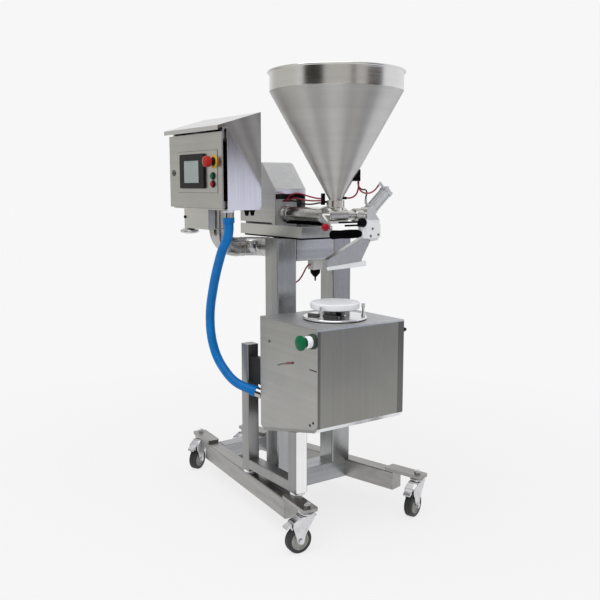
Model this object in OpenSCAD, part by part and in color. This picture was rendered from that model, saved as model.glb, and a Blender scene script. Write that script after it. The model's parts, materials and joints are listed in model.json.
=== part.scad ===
// Cake filling station: a wheeled stand with a piston filler under a conical hopper,
// an operator cabinet on a pipe arm, and a turntable below a flat spreading nozzle.
// The operator stands on the -Y side, +X is the operator's right, the floor is z = 0.

/* [Base] */
// Diameter of the caster wheels
wheel_d = 96; // [90:1:100]
// Width of the caster wheels
wheel_w = 32; // [26:1:34]
// Distance that each wheel trails behind its swivel axis
caster_trail = 38; // [32:1:40]
// Width of the base rails
rail_w = 60; // [50:1:64]
// Height of the base rails
rail_h = 75; // [65:1:85]
// Height of the rails' top above the floor
rail_top = 150; // [148:1:152]
// Thickness of the caster plates
plate_t = 12; // [8:1:14]

/* [Columns] */
// Side of the square columns and of the beam between them
column_s = 90; // [80:1:90]
// Height of the columns' top above the floor
column_top = 1090; // [1086:1:1092]

/* [Turntable box] */
// Height of the box's top above the floor
box_top = 801; // [790:1:805]
// Length of the box from its left wall to its right wall
box_l = 373; // [360:1:380]
// Depth of the box from its front to its back
box_d = 396; // [380:1:400]
// Thickness of the box's sheet
box_t = 3; // [2:0.5:4]
// Diameter of the turntable disc
disc_d = 240; // [220:1:244]
// Diameter of the cake plate on the disc
cake_d = 185; // [160:1:190]
// Side of the square tube of the box's own stand
stand_s = 50; // [40:1:50]

/* [Filler] */
// Height of the filler's axis above the floor
filler_z = 1183; // [1180:1:1186]
// Outer diameter of the product cylinder
product_od = 56; // [52:1:60]
// Bore of the product cylinder
product_bore = 46; // [40:1:48]
// Bore of the air cylinder
air_bore = 90; // [70:1:92]
// Diameter of the piston rod
rod_d = 20; // [16:1:24]
// Outer diameter of the rotary valve's housing
valve_od = 58; // [56:1:60]
// Diameter of the rotary valve's plug
plug_d = 44; // [42:1:46]
// Diameter of the hopper's straight band
hopper_d = 480; // [440:1:490]
// Height of the hopper's rim above the floor
hopper_rim = 1694; // [1680:1:1710]
// Height where the hopper's cone meets its straight band
hopper_band = 1632; // [1610:1:1640]
// Thickness of the hopper's sheet
hopper_t = 2; // [1.5:0.5:3]

/* [Outlet] */
// Angle of the cut-off cylinder above the horizontal
cutoff_tilt = 42; // [40:1:44]
// Diameter of the cut-off plunger
plunger_d = 26; // [24:1:27]
// Thickness of the spreading nozzle
nozzle_t = 26; // [20:1:28]
// Diameter of the hand grip
grip_d = 33; // [28:1:34]

/* [Cabinet] */
// Width of the cabinet
cab_w = 440; // [420:1:440]
// Height of the cabinet's floor
cab_z = 1202; // [1200:1:1204]
// Height of the door's top edge
door_top = 1486; // [1480:1:1486]
// Diameter of the pipe arm that carries the cabinet
arm_d = 76; // [60:1:76]
// Outer diameter of the blue hose
hose_d = 36; // [30:1:36]
// Outer diameter of the air tubes
tube_d = 6; // [5:0.5:6]

/* [Hidden] */
$fn = 64;

// Middle of the whole machine in the layout below, which is drawn from the columns
middle = [40.75, 2.5];

// Running clearance on a radius, and the gap between faces of different bodies
run = 0.05;
gap = 0.3;
steel = "#b9bab6";
bright = "#d3d5d6";
black = "#1b1b1d";
white = "#eceeec";

// Swivel axes on the floor: near right, far left, rear right, rear left, and where each wheel trails to
swivels = [[491, -200], [-494, -103], [475, 348], [-455, 120]];
yaws = [-95, -60, -70, -80];
// Distance from a swivel axis to its rail's end, for the front and the rear rail
rail_end = [118, 100];
plate_over = 30;
plate_reach = 140;
stem_d = 16;
axle_d = 12;
pedal_pin_d = 6;
pedal_pivot = [62, 112];
cheek_in = 19;
cheek_out = 22.5;

// Columns stand on the main cross beam with their right faces in one plane
col_x = [150 - column_s, 150];
front_col_y = [-100, -100 + column_s];
rear_col_y = [170, 170 + column_s];
beam_x = [[-355, -295], col_x];
beam_h = [60, rail_h];

// Filler axis over the turntable's axis
axis_x = 360;
axis_y = 18;
tray_x = [-199, 247];
tray_y = [axis_y - 73, axis_y + 72];
tray_z = [column_top + 6, column_top + 49];
tray_t = 3;
guard_z = 1385;
guard_x = 67;
guard_slope = [[-27, guard_z], [guard_x, 1279]];
guard_t = 2.5;
guard_bend = 40;
air_x = [-185, -165, 5, 30];
air_od = air_bore + 10;
flange_x = [30, 45];
boss_x = [305, 345];
valve_y = [-20, 58];
piston_x = 165;
piston_l = 30;
air_piston_x = -160;
air_piston_l = 25;

// Union joints of the hopper and of the outlet: neck, bore and flange radii
neck_r = 24;
neck_bore = 19;
neck_flange = 29;
hopper_joint = 1226;
spigot_r = 18;
spigot_bore = 13;
spigot_flange = 21;
outlet_joint = 116;
flange_t = 4;
cone_z = 1241;

// Cut-off axis starts at this point of the outlet's centre plane and rises towards +Y
cut_start = [167, filler_z + 3];
cut_body = [18, 32, 118, 132];
cut_bore = 30;
cut_rod_d = 10;
block_x = [axis_x - 22, axis_x + 22];
block_top = 1164;
port_reach = 42;
nozzle_outline = [[155, 1107], [-24, 1024], [-28, 990], [132, 1002], [135, 1018], [175, 1084]];
lip_outline = [[-31, 997], [-29, 985], [152, 992], [149, 1012]];
bracket_x = [395, 401];
grip_x = 408;
grip_z = 1117;
grip_y = [-38, 97];
trigger_pivot = [104, 1157];
lever_end = [409, 1145];
knob_d = 28;
knob_y = -64.5;

// Turntable box: left wall on the columns, sloping floor
box_x = [150, 150 + box_l];
box_y = [-180, -180 + box_d];
box_outline = [
    [box_x[0], box_top], [box_x[1], box_top], [box_x[1], 449],
    [box_x[1] - 18, 431], [box_x[0] + 20, 357], [box_x[0], 376]
];
spindle_d = 30;
drive_d = 20;
disc_z = [box_top + 3, box_top + 11];
plate_z = [box_top + 40, box_top + 64];
clip_angles = [55, 175, 295];
clip_r = 106;
palm_at = [492, 757];
stand_y = [-185, -185 + stand_s];
post_x = [15, 15 + stand_s];
leg_x = [347, 347 + stand_s];
stand_foot = rail_top + 8;
leg_foot = rail_top + plate_t + 8;

// Cabinet: body behind a panned door, hinged at the right on two pins
cab_x = [150 - cab_w, 150];
cab_y = [-314, -170];
door_y = [-330, -324];
door_x = [cab_x[0], cab_x[1] - 12];
door_z = [cab_z + 5.5, door_top];
door_t = 2.5;
hinge_at = [129, -318];
hinge_d = 6;
cab_t = 4;
screen_x = [-183, 15];
screen_z = [1281, 1411];
estop_at = [84, 1379];
start_at = [74, 1327];
stop_at = [74, 1298];
lock_at = [-253, 1342];
arm_at = [-68, -232];
arm_z = 1050;
arm_bend = 76;
arm_y = -55;

// Blue hose: from under the cabinet's floor, down past the post, into the box's left wall
hose_points = [
    [97, -281, 1172], [97, -281, 1151], [97, -281, 1130], [88, -284, 1092], [58, -288, 1050],
    [28, -288, 1000], [-5, -286, 940], [-35, -282, 880], [-60, -278, 820],
    [-75, -273, 760], [-78, -268, 705], [-70, -263, 660], [-50, -257, 615],
    [-15, -244, 568], [30, -226, 529], [76.2, -203.5, 510.2], [94.4, -192.5, 504.7], [112.7, -181.5, 499.2]
];
hose_wall = [150, -159, 488];
hose_dir = [-0.83, -0.5, 0.25];
hose_seat = 44.6;

// Air tubes, each from one push-in fitting to another
filter_at = [105, 112];
filter_tube = [
    [105, 87.7, 979], [105, 80, 978], [105, 68, 968], [105, 55, 948], [105, 42, 930],
    [105, 28, 917], [105, 12, 910.5], [105, 0, 909], [105, -9.7, 909]
];
upper_tube = [
    [30.3, 6, 1231], [40, 6, 1232], [54, 6, 1238], [70, 6, 1247], [90, 6, 1256], [115, 5, 1261.5],
    [145, 3, 1262.5], [180, -2, 1259.5], [215, -7, 1254], [255, -12, 1249], [295, -16, 1245.5],
    [315, -17, 1245], [324.7, -17, 1245]
];
middle_tube = [
    [30.3, 18, 1231], [42, 18, 1232], [58, 18, 1236.5], [78, 17, 1241], [105, 15, 1243], [140, 11, 1241],
    [180, 5, 1238], [225, -3, 1236], [270, -10, 1236], [302, -16, 1237], [315, -17, 1237], [324.7, -17, 1237]
];
lower_tube = [
    [30.3, 30, 1231], [42, 30, 1231.5], [60, 29, 1232.5], [85, 26, 1231.5], [115, 21, 1228], [150, 14, 1224],
    [190, 6, 1222], [235, -4, 1222.5], [275, -12, 1225.5], [302, -16.5, 1228.5], [315, -17, 1229],
    [324.7, -17, 1229]
];
neck_tube = [
    [408.7, 85.5, 1307.7], [408.7, 85.5, 1298], [408, 84, 1280], [405.4, 80.1, 1265], [400.1, 72.9, 1254],
    [392.5, 62.4, 1248], [387.3, 55.3, 1247], [383.8, 50.5, 1247]
];
red_tube = [
    [402.7, 89.1, 1307.7], [402.7, 89.1, 1300], [402, 93, 1285], [400, 102, 1274], [396, 118, 1267],
    [390, 136, 1264], [383, 156, 1264.5], [374, 178, 1268], [366, 198, 1275], [361, 213, 1284.3],
    [360, 220.4, 1290.6]
];
black_tube = [
    [396.7, 92.7, 1307.7], [396.7, 92.7, 1301], [396.6, 96.2, 1290], [395.5, 105, 1281.5], [392, 117, 1278],
    [387, 131, 1277.5], [380, 145, 1274], [371, 155.5, 1266], [363, 160.3, 1256], [360, 160.7, 1248],
    [360, 160.7, 1242.3]
];

function point_on(p, q, x) = p[1] + (q[1] - p[1]) * (x - p[0]) / (q[0] - p[0]);
function line_angle(p, q) = atan2(q[1] - p[1], q[0] - p[0]);
function polar(r, a) = r * [cos(a), sin(a)];
function arc(c, r, a0, a1, n) = [for (i = [0:n]) c + polar(r, a0 + (a1 - a0) * i / n)];
function round_rect(lo, hi, r, n = 4) = concat(
    arc([hi[0] - r, lo[1] + r], r, -90, 0, n),
    arc([hi[0] - r, hi[1] - r], r, 0, 90, n),
    arc([lo[0] + r, hi[1] - r], r, 90, 180, n),
    arc([lo[0] + r, lo[1] + r], r, 180, 270, n)
);
function unit(v) = v / norm(v);
function floor_z(x) = point_on(box_outline[4], box_outline[3], x);

// Extrude an XZ outline along Y, or a YZ outline along X
module across_y(y0, y1) translate([0, y1, 0]) rotate([90, 0, 0]) linear_extrude(y1 - y0) children();
module across_x(x0, x1) translate([x0, 0, 0]) rotate([90, 0, 90]) linear_extrude(x1 - x0) children();
module block(lo, hi) translate(lo) cube(hi - lo);
module rod_x(x0, x1, d) translate([x0, 0, 0]) rotate([0, 90, 0]) cylinder(d = d, h = x1 - x0);
module rod_y(y0, y1, d) translate([0, y0, 0]) rotate([-90, 0, 0]) cylinder(d = d, h = y1 - y0);
module rod_z(z0, z1, d) translate([0, 0, z0]) cylinder(d = d, h = z1 - z0);
module filler() translate([axis_x, axis_y, filler_z]) children();

// A tube swept through the points of a route, one ring of flat sides at each point
module swept_tube(points, d, sides) {
    last = len(points) - 1;
    rings = [
        for (i = [0:last])
            let (
                t = unit(points[min(i + 1, last)] - points[max(i - 1, 0)]),
                u = unit(cross(abs(t[1]) < 0.9 ? [0, 1, 0] : [1, 0, 0], t)),
                v = cross(t, u)
            )
            for (k = [0:sides - 1])
                points[i] + d / 2 * (cos(360 * k / sides) * u + sin(360 * k / sides) * v)
    ];
    walls = [
        for (i = [0:last - 1])
            for (k = [0:sides - 1])
                let (a = i * sides + k, b = i * sides + (k + 1) % sides)
                each [[a, a + sides, b], [b, a + sides, b + sides]]
    ];
    ends = [
        for (k = [1:sides - 2])
            each [[0, k, k + 1], [last * sides, last * sides + k + 1, last * sides + k]]
    ];
    polyhedron(rings, concat(walls, ends));
}

// Base frame
module rail(p, q, end) {
    reach = norm(q - p);
    translate([p[0], p[1], 0])
        rotate([0, 0, line_angle(p, q)])
            across_x(end, reach - end)
                polygon(round_rect([-rail_w / 2, rail_top - rail_h], [rail_w / 2, rail_top], 5));
}

module base_rails() color(steel) {
    rail(swivels[1], swivels[0], rail_end[0]);
    rail(swivels[3], swivels[2], rail_end[1]);
}

// Y of a rail's inner face at a given x; side is +1 for the front rail and -1 for the rear one
function inner_y(p, q, x, side) = point_on(p, q, x) + side * rail_w / 2 / cos(line_angle(p, q));

module cross_beams() color(steel)
    for (i = [0, 1])
        translate([0, 0, rail_top - beam_h[i]])
            linear_extrude(beam_h[i])
                polygon([
                    [beam_x[i][0], inner_y(swivels[1], swivels[0], beam_x[i][0], 1)],
                    [beam_x[i][1], inner_y(swivels[1], swivels[0], beam_x[i][1], 1)],
                    [beam_x[i][1], inner_y(swivels[3], swivels[2], beam_x[i][1], -1)],
                    [beam_x[i][0], inner_y(swivels[3], swivels[2], beam_x[i][0], -1)]
                ]);

// A bar on each rail's end, with one hole for the caster's stem
module caster_plate(p, q) {
    translate([p[0], p[1], rail_top])
        rotate([0, 0, line_angle(p, q)])
            difference() {
                linear_extrude(plate_t)
                    polygon(round_rect([-plate_over, -rail_w / 2], [plate_reach, rail_w / 2], 10));
                rod_z(-1, plate_t + 1, stem_d + 2 * run);
            }
}

module caster_plates() color(steel) {
    caster_plate(swivels[0], swivels[1]);
    caster_plate(swivels[1], swivels[0]);
    caster_plate(swivels[2], swivels[3]);
    caster_plate(swivels[3], swivels[2]);
}

// Casters, drawn in a frame with the swivel axis at the origin and the wheel trailing along +X
module at_caster(i) translate([swivels[i][0], swivels[i][1], 0]) rotate([0, 0, yaws[i]]) children();

module caster_fork(i) color(bright) at_caster(i) {
    cheek = [[-24, 136], [32, 136], [68, 119], [69, 104], [50, 42], [38, 36], [26, 42], [18, 70]];
    for (side = [-1, 1])
        translate([0, side * (cheek_in + cheek_out) / 2, 0])
            across_y((cheek_in - cheek_out) / 2, (cheek_out - cheek_in) / 2) polygon(cheek);
    block([-26, -cheek_out, 130], [34, cheek_out, 136]);
    rotate_extrude()
        polygon(concat(
            [[0, 136], [24, 136]],
            arc([24, 142], 6, -90, 90, 6),
            [[22, rail_top - gap], [0, rail_top - gap]]
        ));
    rod_z(rail_top - gap - 1, rail_top + plate_t + 14, stem_d);
    translate([0, 0, rail_top + plate_t + gap]) cylinder(d = 27, h = 10, $fn = 6);
    translate([caster_trail, 0, wheel_d / 2]) {
        rod_y(-cheek_out - 6, cheek_out + 6, axle_d);
        for (side = [-1, 1])
            translate([0, side * (cheek_out + 2.5), 0]) rod_y(-2.5, 2.5, 20);
    }
    translate([pedal_pivot[0], 0, pedal_pivot[1]]) rod_y(-cheek_out, cheek_out, pedal_pin_d);
}

module caster_wheel(i) color("#4a4b4d") at_caster(i) {
    half = wheel_w / 2;
    bore = axle_d / 2 + run;
    edge = wheel_d / 2 - 7;
    translate([caster_trail, 0, wheel_d / 2])
        rotate([90, 0, 0])
            rotate_extrude()
                polygon(concat(
                    [[bore, -half - 2], [14, -half - 2], [16, -10], [32, -10], [34, -half]],
                    arc([edge, -half + 7], 7, -90, 0, 5),
                    arc([edge, half - 7], 7, 0, 90, 5),
                    [[34, half], [32, 10], [16, 10], [14, half + 2], [bore, half + 2]]
                ));
}

module brake_pedal(i) color(bright) at_caster(i)
    difference() {
        union() {
            translate([pedal_pivot[0], 0, pedal_pivot[1]]) rod_y(-15, 15, 13);
            across_y(-15, 15)
                polygon([
                    [66, 117], [74, 115], [90, 107], [94, 101], [92, 97], [79, 104], [68.5, 90.5], [59, 106]
                ]);
        }
        translate([pedal_pivot[0], 0, pedal_pivot[1]]) rod_y(-20, 20, pedal_pin_d + 2 * run);
    }

// Columns and the beam between their tops
module columns() color(steel)
    for (y = [front_col_y, rear_col_y])
        translate([0, 0, rail_top])
            linear_extrude(column_top - rail_top)
                polygon(round_rect([col_x[0], y[0]], [col_x[1], y[1]], 6));

module top_beam() color(steel)
    across_y(front_col_y[1], rear_col_y[0])
        polygon(round_rect([col_x[0], column_top - column_s], [col_x[1], column_top], 6));

// Filler bed: an open tray on a black pad, with a sheet guard round the air cylinder
module tray_pad() color(black)
    block([tray_x[0] + 34, tray_y[0], column_top], [tray_x[1], tray_y[1], tray_z[0]]);

module tray() color(steel)
    difference() {
        block([tray_x[0], tray_y[0], tray_z[0]], [tray_x[1], tray_y[1], tray_z[1]]);
        block(
            [tray_x[0] - 1, tray_y[0] + tray_t, tray_z[0] + tray_t],
            [tray_x[1] - tray_t, tray_y[1] - tray_t, tray_z[1] + 1]
        );
    }

// Side outline of the guard, drawn in by a distance; the bend between roof and slope is an arc
function guard_outline(in) =
    let (
        slope = line_angle(guard_slope[0], guard_slope[1]),
        start = guard_slope[0][0] - guard_bend * tan(-slope / 2)
    )
    concat(
        [[tray_x[0] + in, tray_z[1] + 8], [tray_x[0] + in, guard_z - in]],
        arc([start, guard_z - guard_bend], guard_bend - in, 90, 90 + slope, 6),
        [guard_slope[1] + in * [cos(90 + slope), sin(90 + slope)] * -1]
    );

module guard() color(steel) {
    difference() {
        across_y(tray_y[0], tray_y[1])
            polygon(concat(guard_outline(0), [[guard_x, tray_z[1] + 8]]));
        across_y(tray_y[0] + guard_t, tray_y[1] - guard_t)
            polygon(concat(
                guard_outline(guard_t),
                [[guard_x - 1, 1260], [guard_x + 1, 1260], [guard_x + 1, 1140], [tray_x[0] + guard_t, 1140]]
            ));
    }
    for (y = [tray_y[0], tray_y[1] - guard_t])
        block([guard_x - 23, y, tray_z[1]], [guard_x, y + guard_t, tray_z[1] + 9]);
    block([tray_x[0], tray_y[1] - guard_t, tray_z[1]], [tray_x[0] + 30, tray_y[1], tray_z[1] + 9]);
}

// Air cylinder: two square heads on feet, a tube and four tie rods
module air_cylinder() color(bright)
    difference() {
        union() {
            for (x = [[air_x[0], air_x[1]], [air_x[2], air_x[3]]])
                across_x(x[0], x[1])
                    polygon(round_rect([axis_y - 56, tray_z[0] + tray_t], [axis_y + 56, filler_z + 56], 8));
            filler() rod_x(air_x[1] - axis_x - 1, air_x[2] - axis_x + 1, air_od);
            for (sy = [-1, 1], sz = [-1, 1])
                filler() translate([0, sy * 46, sz * 46]) rod_x(air_x[0] - axis_x - 8, air_x[3] - axis_x, 9);
        }
        filler() rod_x(air_x[1] - axis_x, air_x[2] - axis_x, air_bore);
        filler() rod_x(air_x[2] - axis_x - 1, air_x[3] - axis_x + 1, rod_d + 2 * run);
    }

module product_cylinder() color(bright)
    difference() {
        filler() union() {
            rod_x(flange_x[0] - axis_x, flange_x[1] - axis_x, 70);
            rod_x(flange_x[1] - axis_x - 1, boss_x[0] - axis_x, product_od);
            rod_x(boss_x[0] - axis_x - 12, boss_x[0] - axis_x, product_od + 10);
        }
        filler() rod_x(flange_x[1] - axis_x, boss_x[0] - axis_x + 1, product_bore);
        filler() rod_x(flange_x[0] - axis_x - 1, flange_x[1] - axis_x + 1, rod_d + 4);
    }

// Air piston, rod and product piston with its two seal lands
module piston() color(white) filler() {
    rod_x(air_piston_x - axis_x, air_piston_x + air_piston_l - axis_x, air_bore - 2 * run);
    rod_x(air_piston_x + air_piston_l - axis_x - 1, piston_x - axis_x + 1, rod_d);
    for (x = [piston_x, piston_x + piston_l - 10])
        rod_x(x - axis_x, x + 10 - axis_x, product_bore - 2 * run);
    rod_x(piston_x - axis_x, piston_x + piston_l - axis_x, product_bore - 6);
}

// Rotary valve: the plug's scallop joins hopper and cylinder, and its cross bore joins cylinder and outlet
module valve_housing() color(bright)
    difference() {
        union() {
            filler() rod_y(valve_y[0] - axis_y, valve_y[1] - axis_y, valve_od);
            filler() rod_x(boss_x[0] - axis_x, boss_x[1] - axis_x, product_od);
            translate([axis_x, axis_y, 0]) {
                rod_z(filler_z, hopper_joint, 2 * neck_r);
                rod_z(hopper_joint - flange_t, hopper_joint, 2 * neck_flange);
            }
            translate([axis_x, 0, filler_z]) {
                rod_y(valve_y[1] - 1, outlet_joint, 2 * spigot_r);
                rod_y(outlet_joint - flange_t, outlet_joint, 2 * spigot_flange);
            }
        }
        translate([axis_x, 0, filler_z]) {
            rod_y(valve_y[0] - 1, valve_y[1] - 8, plug_d + 2 * run);
            rod_y(valve_y[1] - 9, outlet_joint + 1, 2 * spigot_bore);
        }
        filler() rod_x(boss_x[0] - axis_x - 1, 0, product_bore);
        translate([axis_x, axis_y, 0]) rod_z(filler_z, hopper_joint + 1, 2 * neck_bore);
    }

module valve_plug() color(bright) {
    difference() {
        translate([axis_x, 0, filler_z]) rod_y(valve_y[0] - gap, valve_y[1] - 8 - gap, plug_d);
        filler() rotate([0, -45, 0]) block([-plug_d, -20, 8], [plug_d, 20, plug_d]);
        filler() rod_z(-plug_d, 0, 2 * spigot_bore);
        filler() rod_y(-spigot_bore, plug_d, 2 * spigot_bore);
    }
    translate([axis_x, 0, filler_z]) {
        rod_y(valve_y[0] - 8 - gap, valve_y[0] - gap - gap, valve_od - 2);
        rod_y(valve_y[0] - gap - 1, valve_y[0], plug_d - 2);
        rod_y(valve_y[0] - 30, valve_y[0] - 8, 18);
    }
    arm = [lever_end[0] - axis_x, lever_end[1] - filler_z];
    translate([axis_x, 0, filler_z])
        rotate([0, -atan2(arm[1], arm[0]), 0])
            across_y(valve_y[0] - 30, valve_y[0] - 22)
                polygon(round_rect([-13, -8], [norm(arm) + 8, 8], 7.9, 6));
    translate([lever_end[0], 0, lever_end[1]]) rod_y(knob_y + 2, valve_y[0] - 23, 10);
}

module valve_knob() color("#c01a26") translate([lever_end[0], 0, lever_end[1]])
    difference() {
        union() {
            translate([0, knob_y, 0]) sphere(d = knob_d);
            rod_y(knob_y, valve_y[0] - 30 - gap, 16);
        }
        rod_y(knob_y + 2, knob_y + 30, 10);
    }

module hopper() color(bright) translate([axis_x, axis_y, 0])
    rotate_extrude($fn = 96)
        polygon([
            [neck_bore, hopper_joint], [neck_flange, hopper_joint], [neck_flange, hopper_joint + flange_t],
            [neck_r, hopper_joint + flange_t], [neck_r, cone_z], [hopper_d / 2, hopper_band],
            [hopper_d / 2, hopper_rim - 10], [hopper_d / 2 + 8, hopper_rim - 8],
            [hopper_d / 2 + 8, hopper_rim],
            [hopper_d / 2 - hopper_t, hopper_rim], [hopper_d / 2 - hopper_t, hopper_band + 1],
            [neck_bore, cone_z + 2]
        ]);

// A ring that holds two flanges together between its lips, with four spanner slots
module union_ring(flange_r, tube_r, out_r, half) {
    lip = tube_r + 1;
    difference() {
        rotate_extrude()
            polygon([
                [lip, -half], [out_r - 2, -half], [out_r, -half + 2], [out_r, half - 2],
                [out_r - 2, half], [lip, half], [lip, flange_t], [flange_r + 2 * run, flange_t],
                [flange_r + 2 * run, -flange_t], [lip, -flange_t]
            ]);
        for (a = [20, 110, 200, 290])
            rotate([0, 0, a]) block([out_r - 2, -3, -half - 1], [out_r + 2, 3, half + 1]);
    }
}

module pipe_clamps() color(bright) {
    translate([axis_x, axis_y, hopper_joint]) union_ring(neck_flange, neck_r, 33, 13.5);
    translate([axis_x, outlet_joint, filler_z])
        rotate([-90, 0, 0])
            union_ring(spigot_flange, spigot_r, 25, 15);
}

// Cut-off frame: +Z runs up along the cut-off cylinder's axis
module at_cutoff()
    translate([axis_x, cut_start[0], cut_start[1]]) rotate([cutoff_tilt - 90, 0, 0]) children();

// Y of the face under the cut-off cylinder at a given height
function cut_edge(z) =
    cut_start[0] + (cut_body[0] - (z - cut_start[1]) * sin(cutoff_tilt)) / cos(cutoff_tilt);

// Ways of the filling through the outlet, and the bore of the cut-off plunger
module outlet_bores() {
    translate([axis_x, 0, filler_z]) rod_y(outlet_joint - 1, cut_start[0], 2 * spigot_bore);
    at_cutoff() rod_z(-17, 80, plunger_d + 2 * run);
    translate([axis_x, cut_start[0], 0]) rod_z(1070, cut_start[1], 24);
}

module nozzle_body() color(bright)
    difference() {
        union() {
            across_x(block_x[0], block_x[1])
                polygon([
                    [150, block_top], [150, 1205], [157, 1212], [cut_edge(1212), 1212],
                    [cut_edge(block_top), block_top]
                ]);
            translate([axis_x, 0, filler_z]) {
                rod_y(outlet_joint, 151, 2 * spigot_r);
                rod_y(outlet_joint, outlet_joint + flange_t, 2 * spigot_flange);
            }
        }
        outlet_bores();
    }

// White block below the body: it carries the nozzle, and a bracket for grip and trigger
module nozzle_block() color(white)
    difference() {
        union() {
            across_x(block_x[0], block_x[1])
                polygon([
                    nozzle_outline[0], [150, 1130], [150, block_top], [cut_edge(block_top), block_top],
                    [214, 1108], [205, 1088], nozzle_outline[5]
                ]);
            block([block_x[1] - 1, 168, 1100], [bracket_x[0] + 1, 200, 1158]);
            across_x(bracket_x[0], bracket_x[1])
                polygon([
                    [97.3, 1100], [97.3, 1138], [92, 1143], [92, 1162], [100, 1170], [134, 1168], [200, 1150],
                    [200, 1100], [150, 1096]
                ]);
            block([bracket_x[0], grip_y[1], 1102], [grip_x + 15, grip_y[1] + 6, 1132]);
            translate([0, trigger_pivot[0], trigger_pivot[1]]) rod_x(bracket_x[1] - 1, bracket_x[1] + 12, 8);
        }
        outlet_bores();
    }

// Flat fan-shaped nozzle, open along its lower edge
module spreader_nozzle() color(steel)
    difference() {
        across_x(axis_x - nozzle_t / 2, axis_x + nozzle_t / 2) polygon(nozzle_outline);
        across_x(axis_x - nozzle_t / 2 + 3, axis_x + nozzle_t / 2 - 3)
            polygon([
                [158, 1105], [-21, 1022], [-25, 980], [129, 998], [132, 1019], [172, 1086], [180, 1110]
            ]);
    }

module spreader_lip() color(white)
    across_x(axis_x + nozzle_t / 2, axis_x + nozzle_t / 2 + 6) polygon(lip_outline);

module cutoff_cylinder() color(bright) at_cutoff()
    difference() {
        union() {
            for (z = [[cut_body[0], cut_body[1]], [cut_body[2], cut_body[3]]])
                translate([0, 0, z[0]])
                    linear_extrude(z[1] - z[0])
                        polygon(round_rect([-20, -20], [20, 20], 5));
            rod_z(cut_body[1] - 1, cut_body[2] + 1, cut_bore + 6);
            for (sx = [-1, 1], sy = [-1, 1])
                translate([sx * 15, sy * 15, 0]) rod_z(cut_body[0], cut_body[3] + 4, 6);
            translate([0, 0, cut_body[3] - 7]) rod_y(-port_reach - 4.5, -19, 9);
            translate([0, -port_reach, 0]) rod_z(cut_body[3] - 22, cut_body[3] - 7, 9);
            translate([0, 0, cut_body[0] + 6]) {
                rod_y(-36, -19, 9);
                translate([0, -36, 0]) rotate([90 - cutoff_tilt, 0, 0]) {
                    sphere(d = 10);
                    rod_z(0, 13.3, 9);
                }
            }
        }
        rod_z(cut_body[1], cut_body[2], cut_bore);
        rod_z(cut_body[0] - 1, cut_body[1] + 1, cut_rod_d + 2 * run);
    }

module cutoff_rod() color(bright) at_cutoff() {
    rod_z(8, cut_body[0] - 1, plunger_d);
    rod_z(cut_body[0] - 2, 92, cut_rod_d);
    rod_z(90, 108, cut_bore - 2 * run);
}

module grip() color(black) translate([grip_x, 0, grip_z])
    rotate([-90, 0, 0])
        rotate_extrude()
            polygon(concat(
                [[0, grip_y[0]]],
                arc([grip_d / 2 - 8, grip_y[0] + 8], 8, -90, 0, 5),
                [
                    [grip_d / 2 - 1.5, grip_y[0] + 40], [grip_d / 2, grip_y[0] + 80],
                    [grip_d / 2 - 1, grip_y[1] - 14], [11, grip_y[1]], [0, grip_y[1]]
                ]
            ));

// Squeeze lever above the grip: a hub with two rods
module trigger_lever() color(black) {
    x0 = bracket_x[1] + gap;
    difference() {
        union() {
            translate([0, trigger_pivot[0], trigger_pivot[1]]) rod_x(x0, x0 + 15, 33);
            translate([x0 + 7, 0, trigger_pivot[1] + 3]) rod_y(-3, trigger_pivot[0] - 8, 7);
            translate([x0 + 7, 0, trigger_pivot[1] - 9]) rod_y(25, trigger_pivot[0] - 8, 7);
        }
        translate([0, trigger_pivot[0], trigger_pivot[1]]) rod_x(x0 - 1, x0 + 12, 8 + 2 * run);
    }
}

// Turntable box: folded sheet with a sloping floor, bearing boss and button collar
module turntable_box() color(steel)
    difference() {
        union() {
            difference() {
                across_y(box_y[0], box_y[1]) polygon(box_outline);
                across_y(box_y[0] + box_t, box_y[1] - box_t)
                    polygon([
                        [box_x[0] + box_t, box_top - box_t], [box_x[1] - box_t, box_top - box_t],
                        [box_x[1] - box_t, 450], [box_x[1] - 19, 434], [box_x[0] + 21, 360],
                        [box_x[0] + box_t, 377]
                    ]);
            }
            translate([axis_x, axis_y, 0]) rod_z(box_top - 31, box_top - 1, 64);
            translate([palm_at[0], 0, palm_at[1]]) {
                rod_y(box_y[0] - 10, box_y[0], 46);
                rod_y(box_y[0] - 32, box_y[0] - 9, 36);
            }
        }
        translate([axis_x, axis_y, 0]) rod_z(box_top - 40, box_top + 1, spindle_d + 2 * run);
        translate([palm_at[0], 0, palm_at[1]]) rod_y(box_y[0] - 40, box_y[0] + 10, 24 + 2 * run);
    }

// Worm gearmotor hung under the bearing boss
module gearmotor() color("#6d7278")
    difference() {
        union() {
            block([axis_x - 55, axis_y - 55, box_top - 171], [axis_x + 55, axis_y + 55, box_top - 31]);
            translate([0, axis_y, box_top - 105]) rod_x(axis_x - 190, axis_x - 54, 104);
        }
        translate([axis_x, axis_y, 0]) rod_z(box_top - 180, box_top - 30, drive_d + 2 * run);
    }

module turntable_disc() color(bright) translate([axis_x, axis_y, 0]) {
    rod_z(box_top - 160, box_top - 30, drive_d);
    rod_z(box_top - 31 + gap, disc_z[0] + 1, spindle_d);
    rotate_extrude($fn = 96)
        polygon(concat(
            [[0, disc_z[0]]],
            arc([disc_d / 2 - 4, disc_z[0] + 4], 4, -90, 90, 6),
            [[40, disc_z[1]], [34, disc_z[1] + 6], [30, plate_z[0]], [0, plate_z[0]]]
        ));
    for (a = clip_angles)
        rotate([0, 0, a]) translate([clip_r, 0, 0]) {
            rod_z(disc_z[1] - 1, plate_z[1] - 8, 10);
            rod_z(disc_z[1] - 1, disc_z[1] + 8, 16);
            rod_z(plate_z[0] + 2, plate_z[1] - 6, 15);
        }
}

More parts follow.
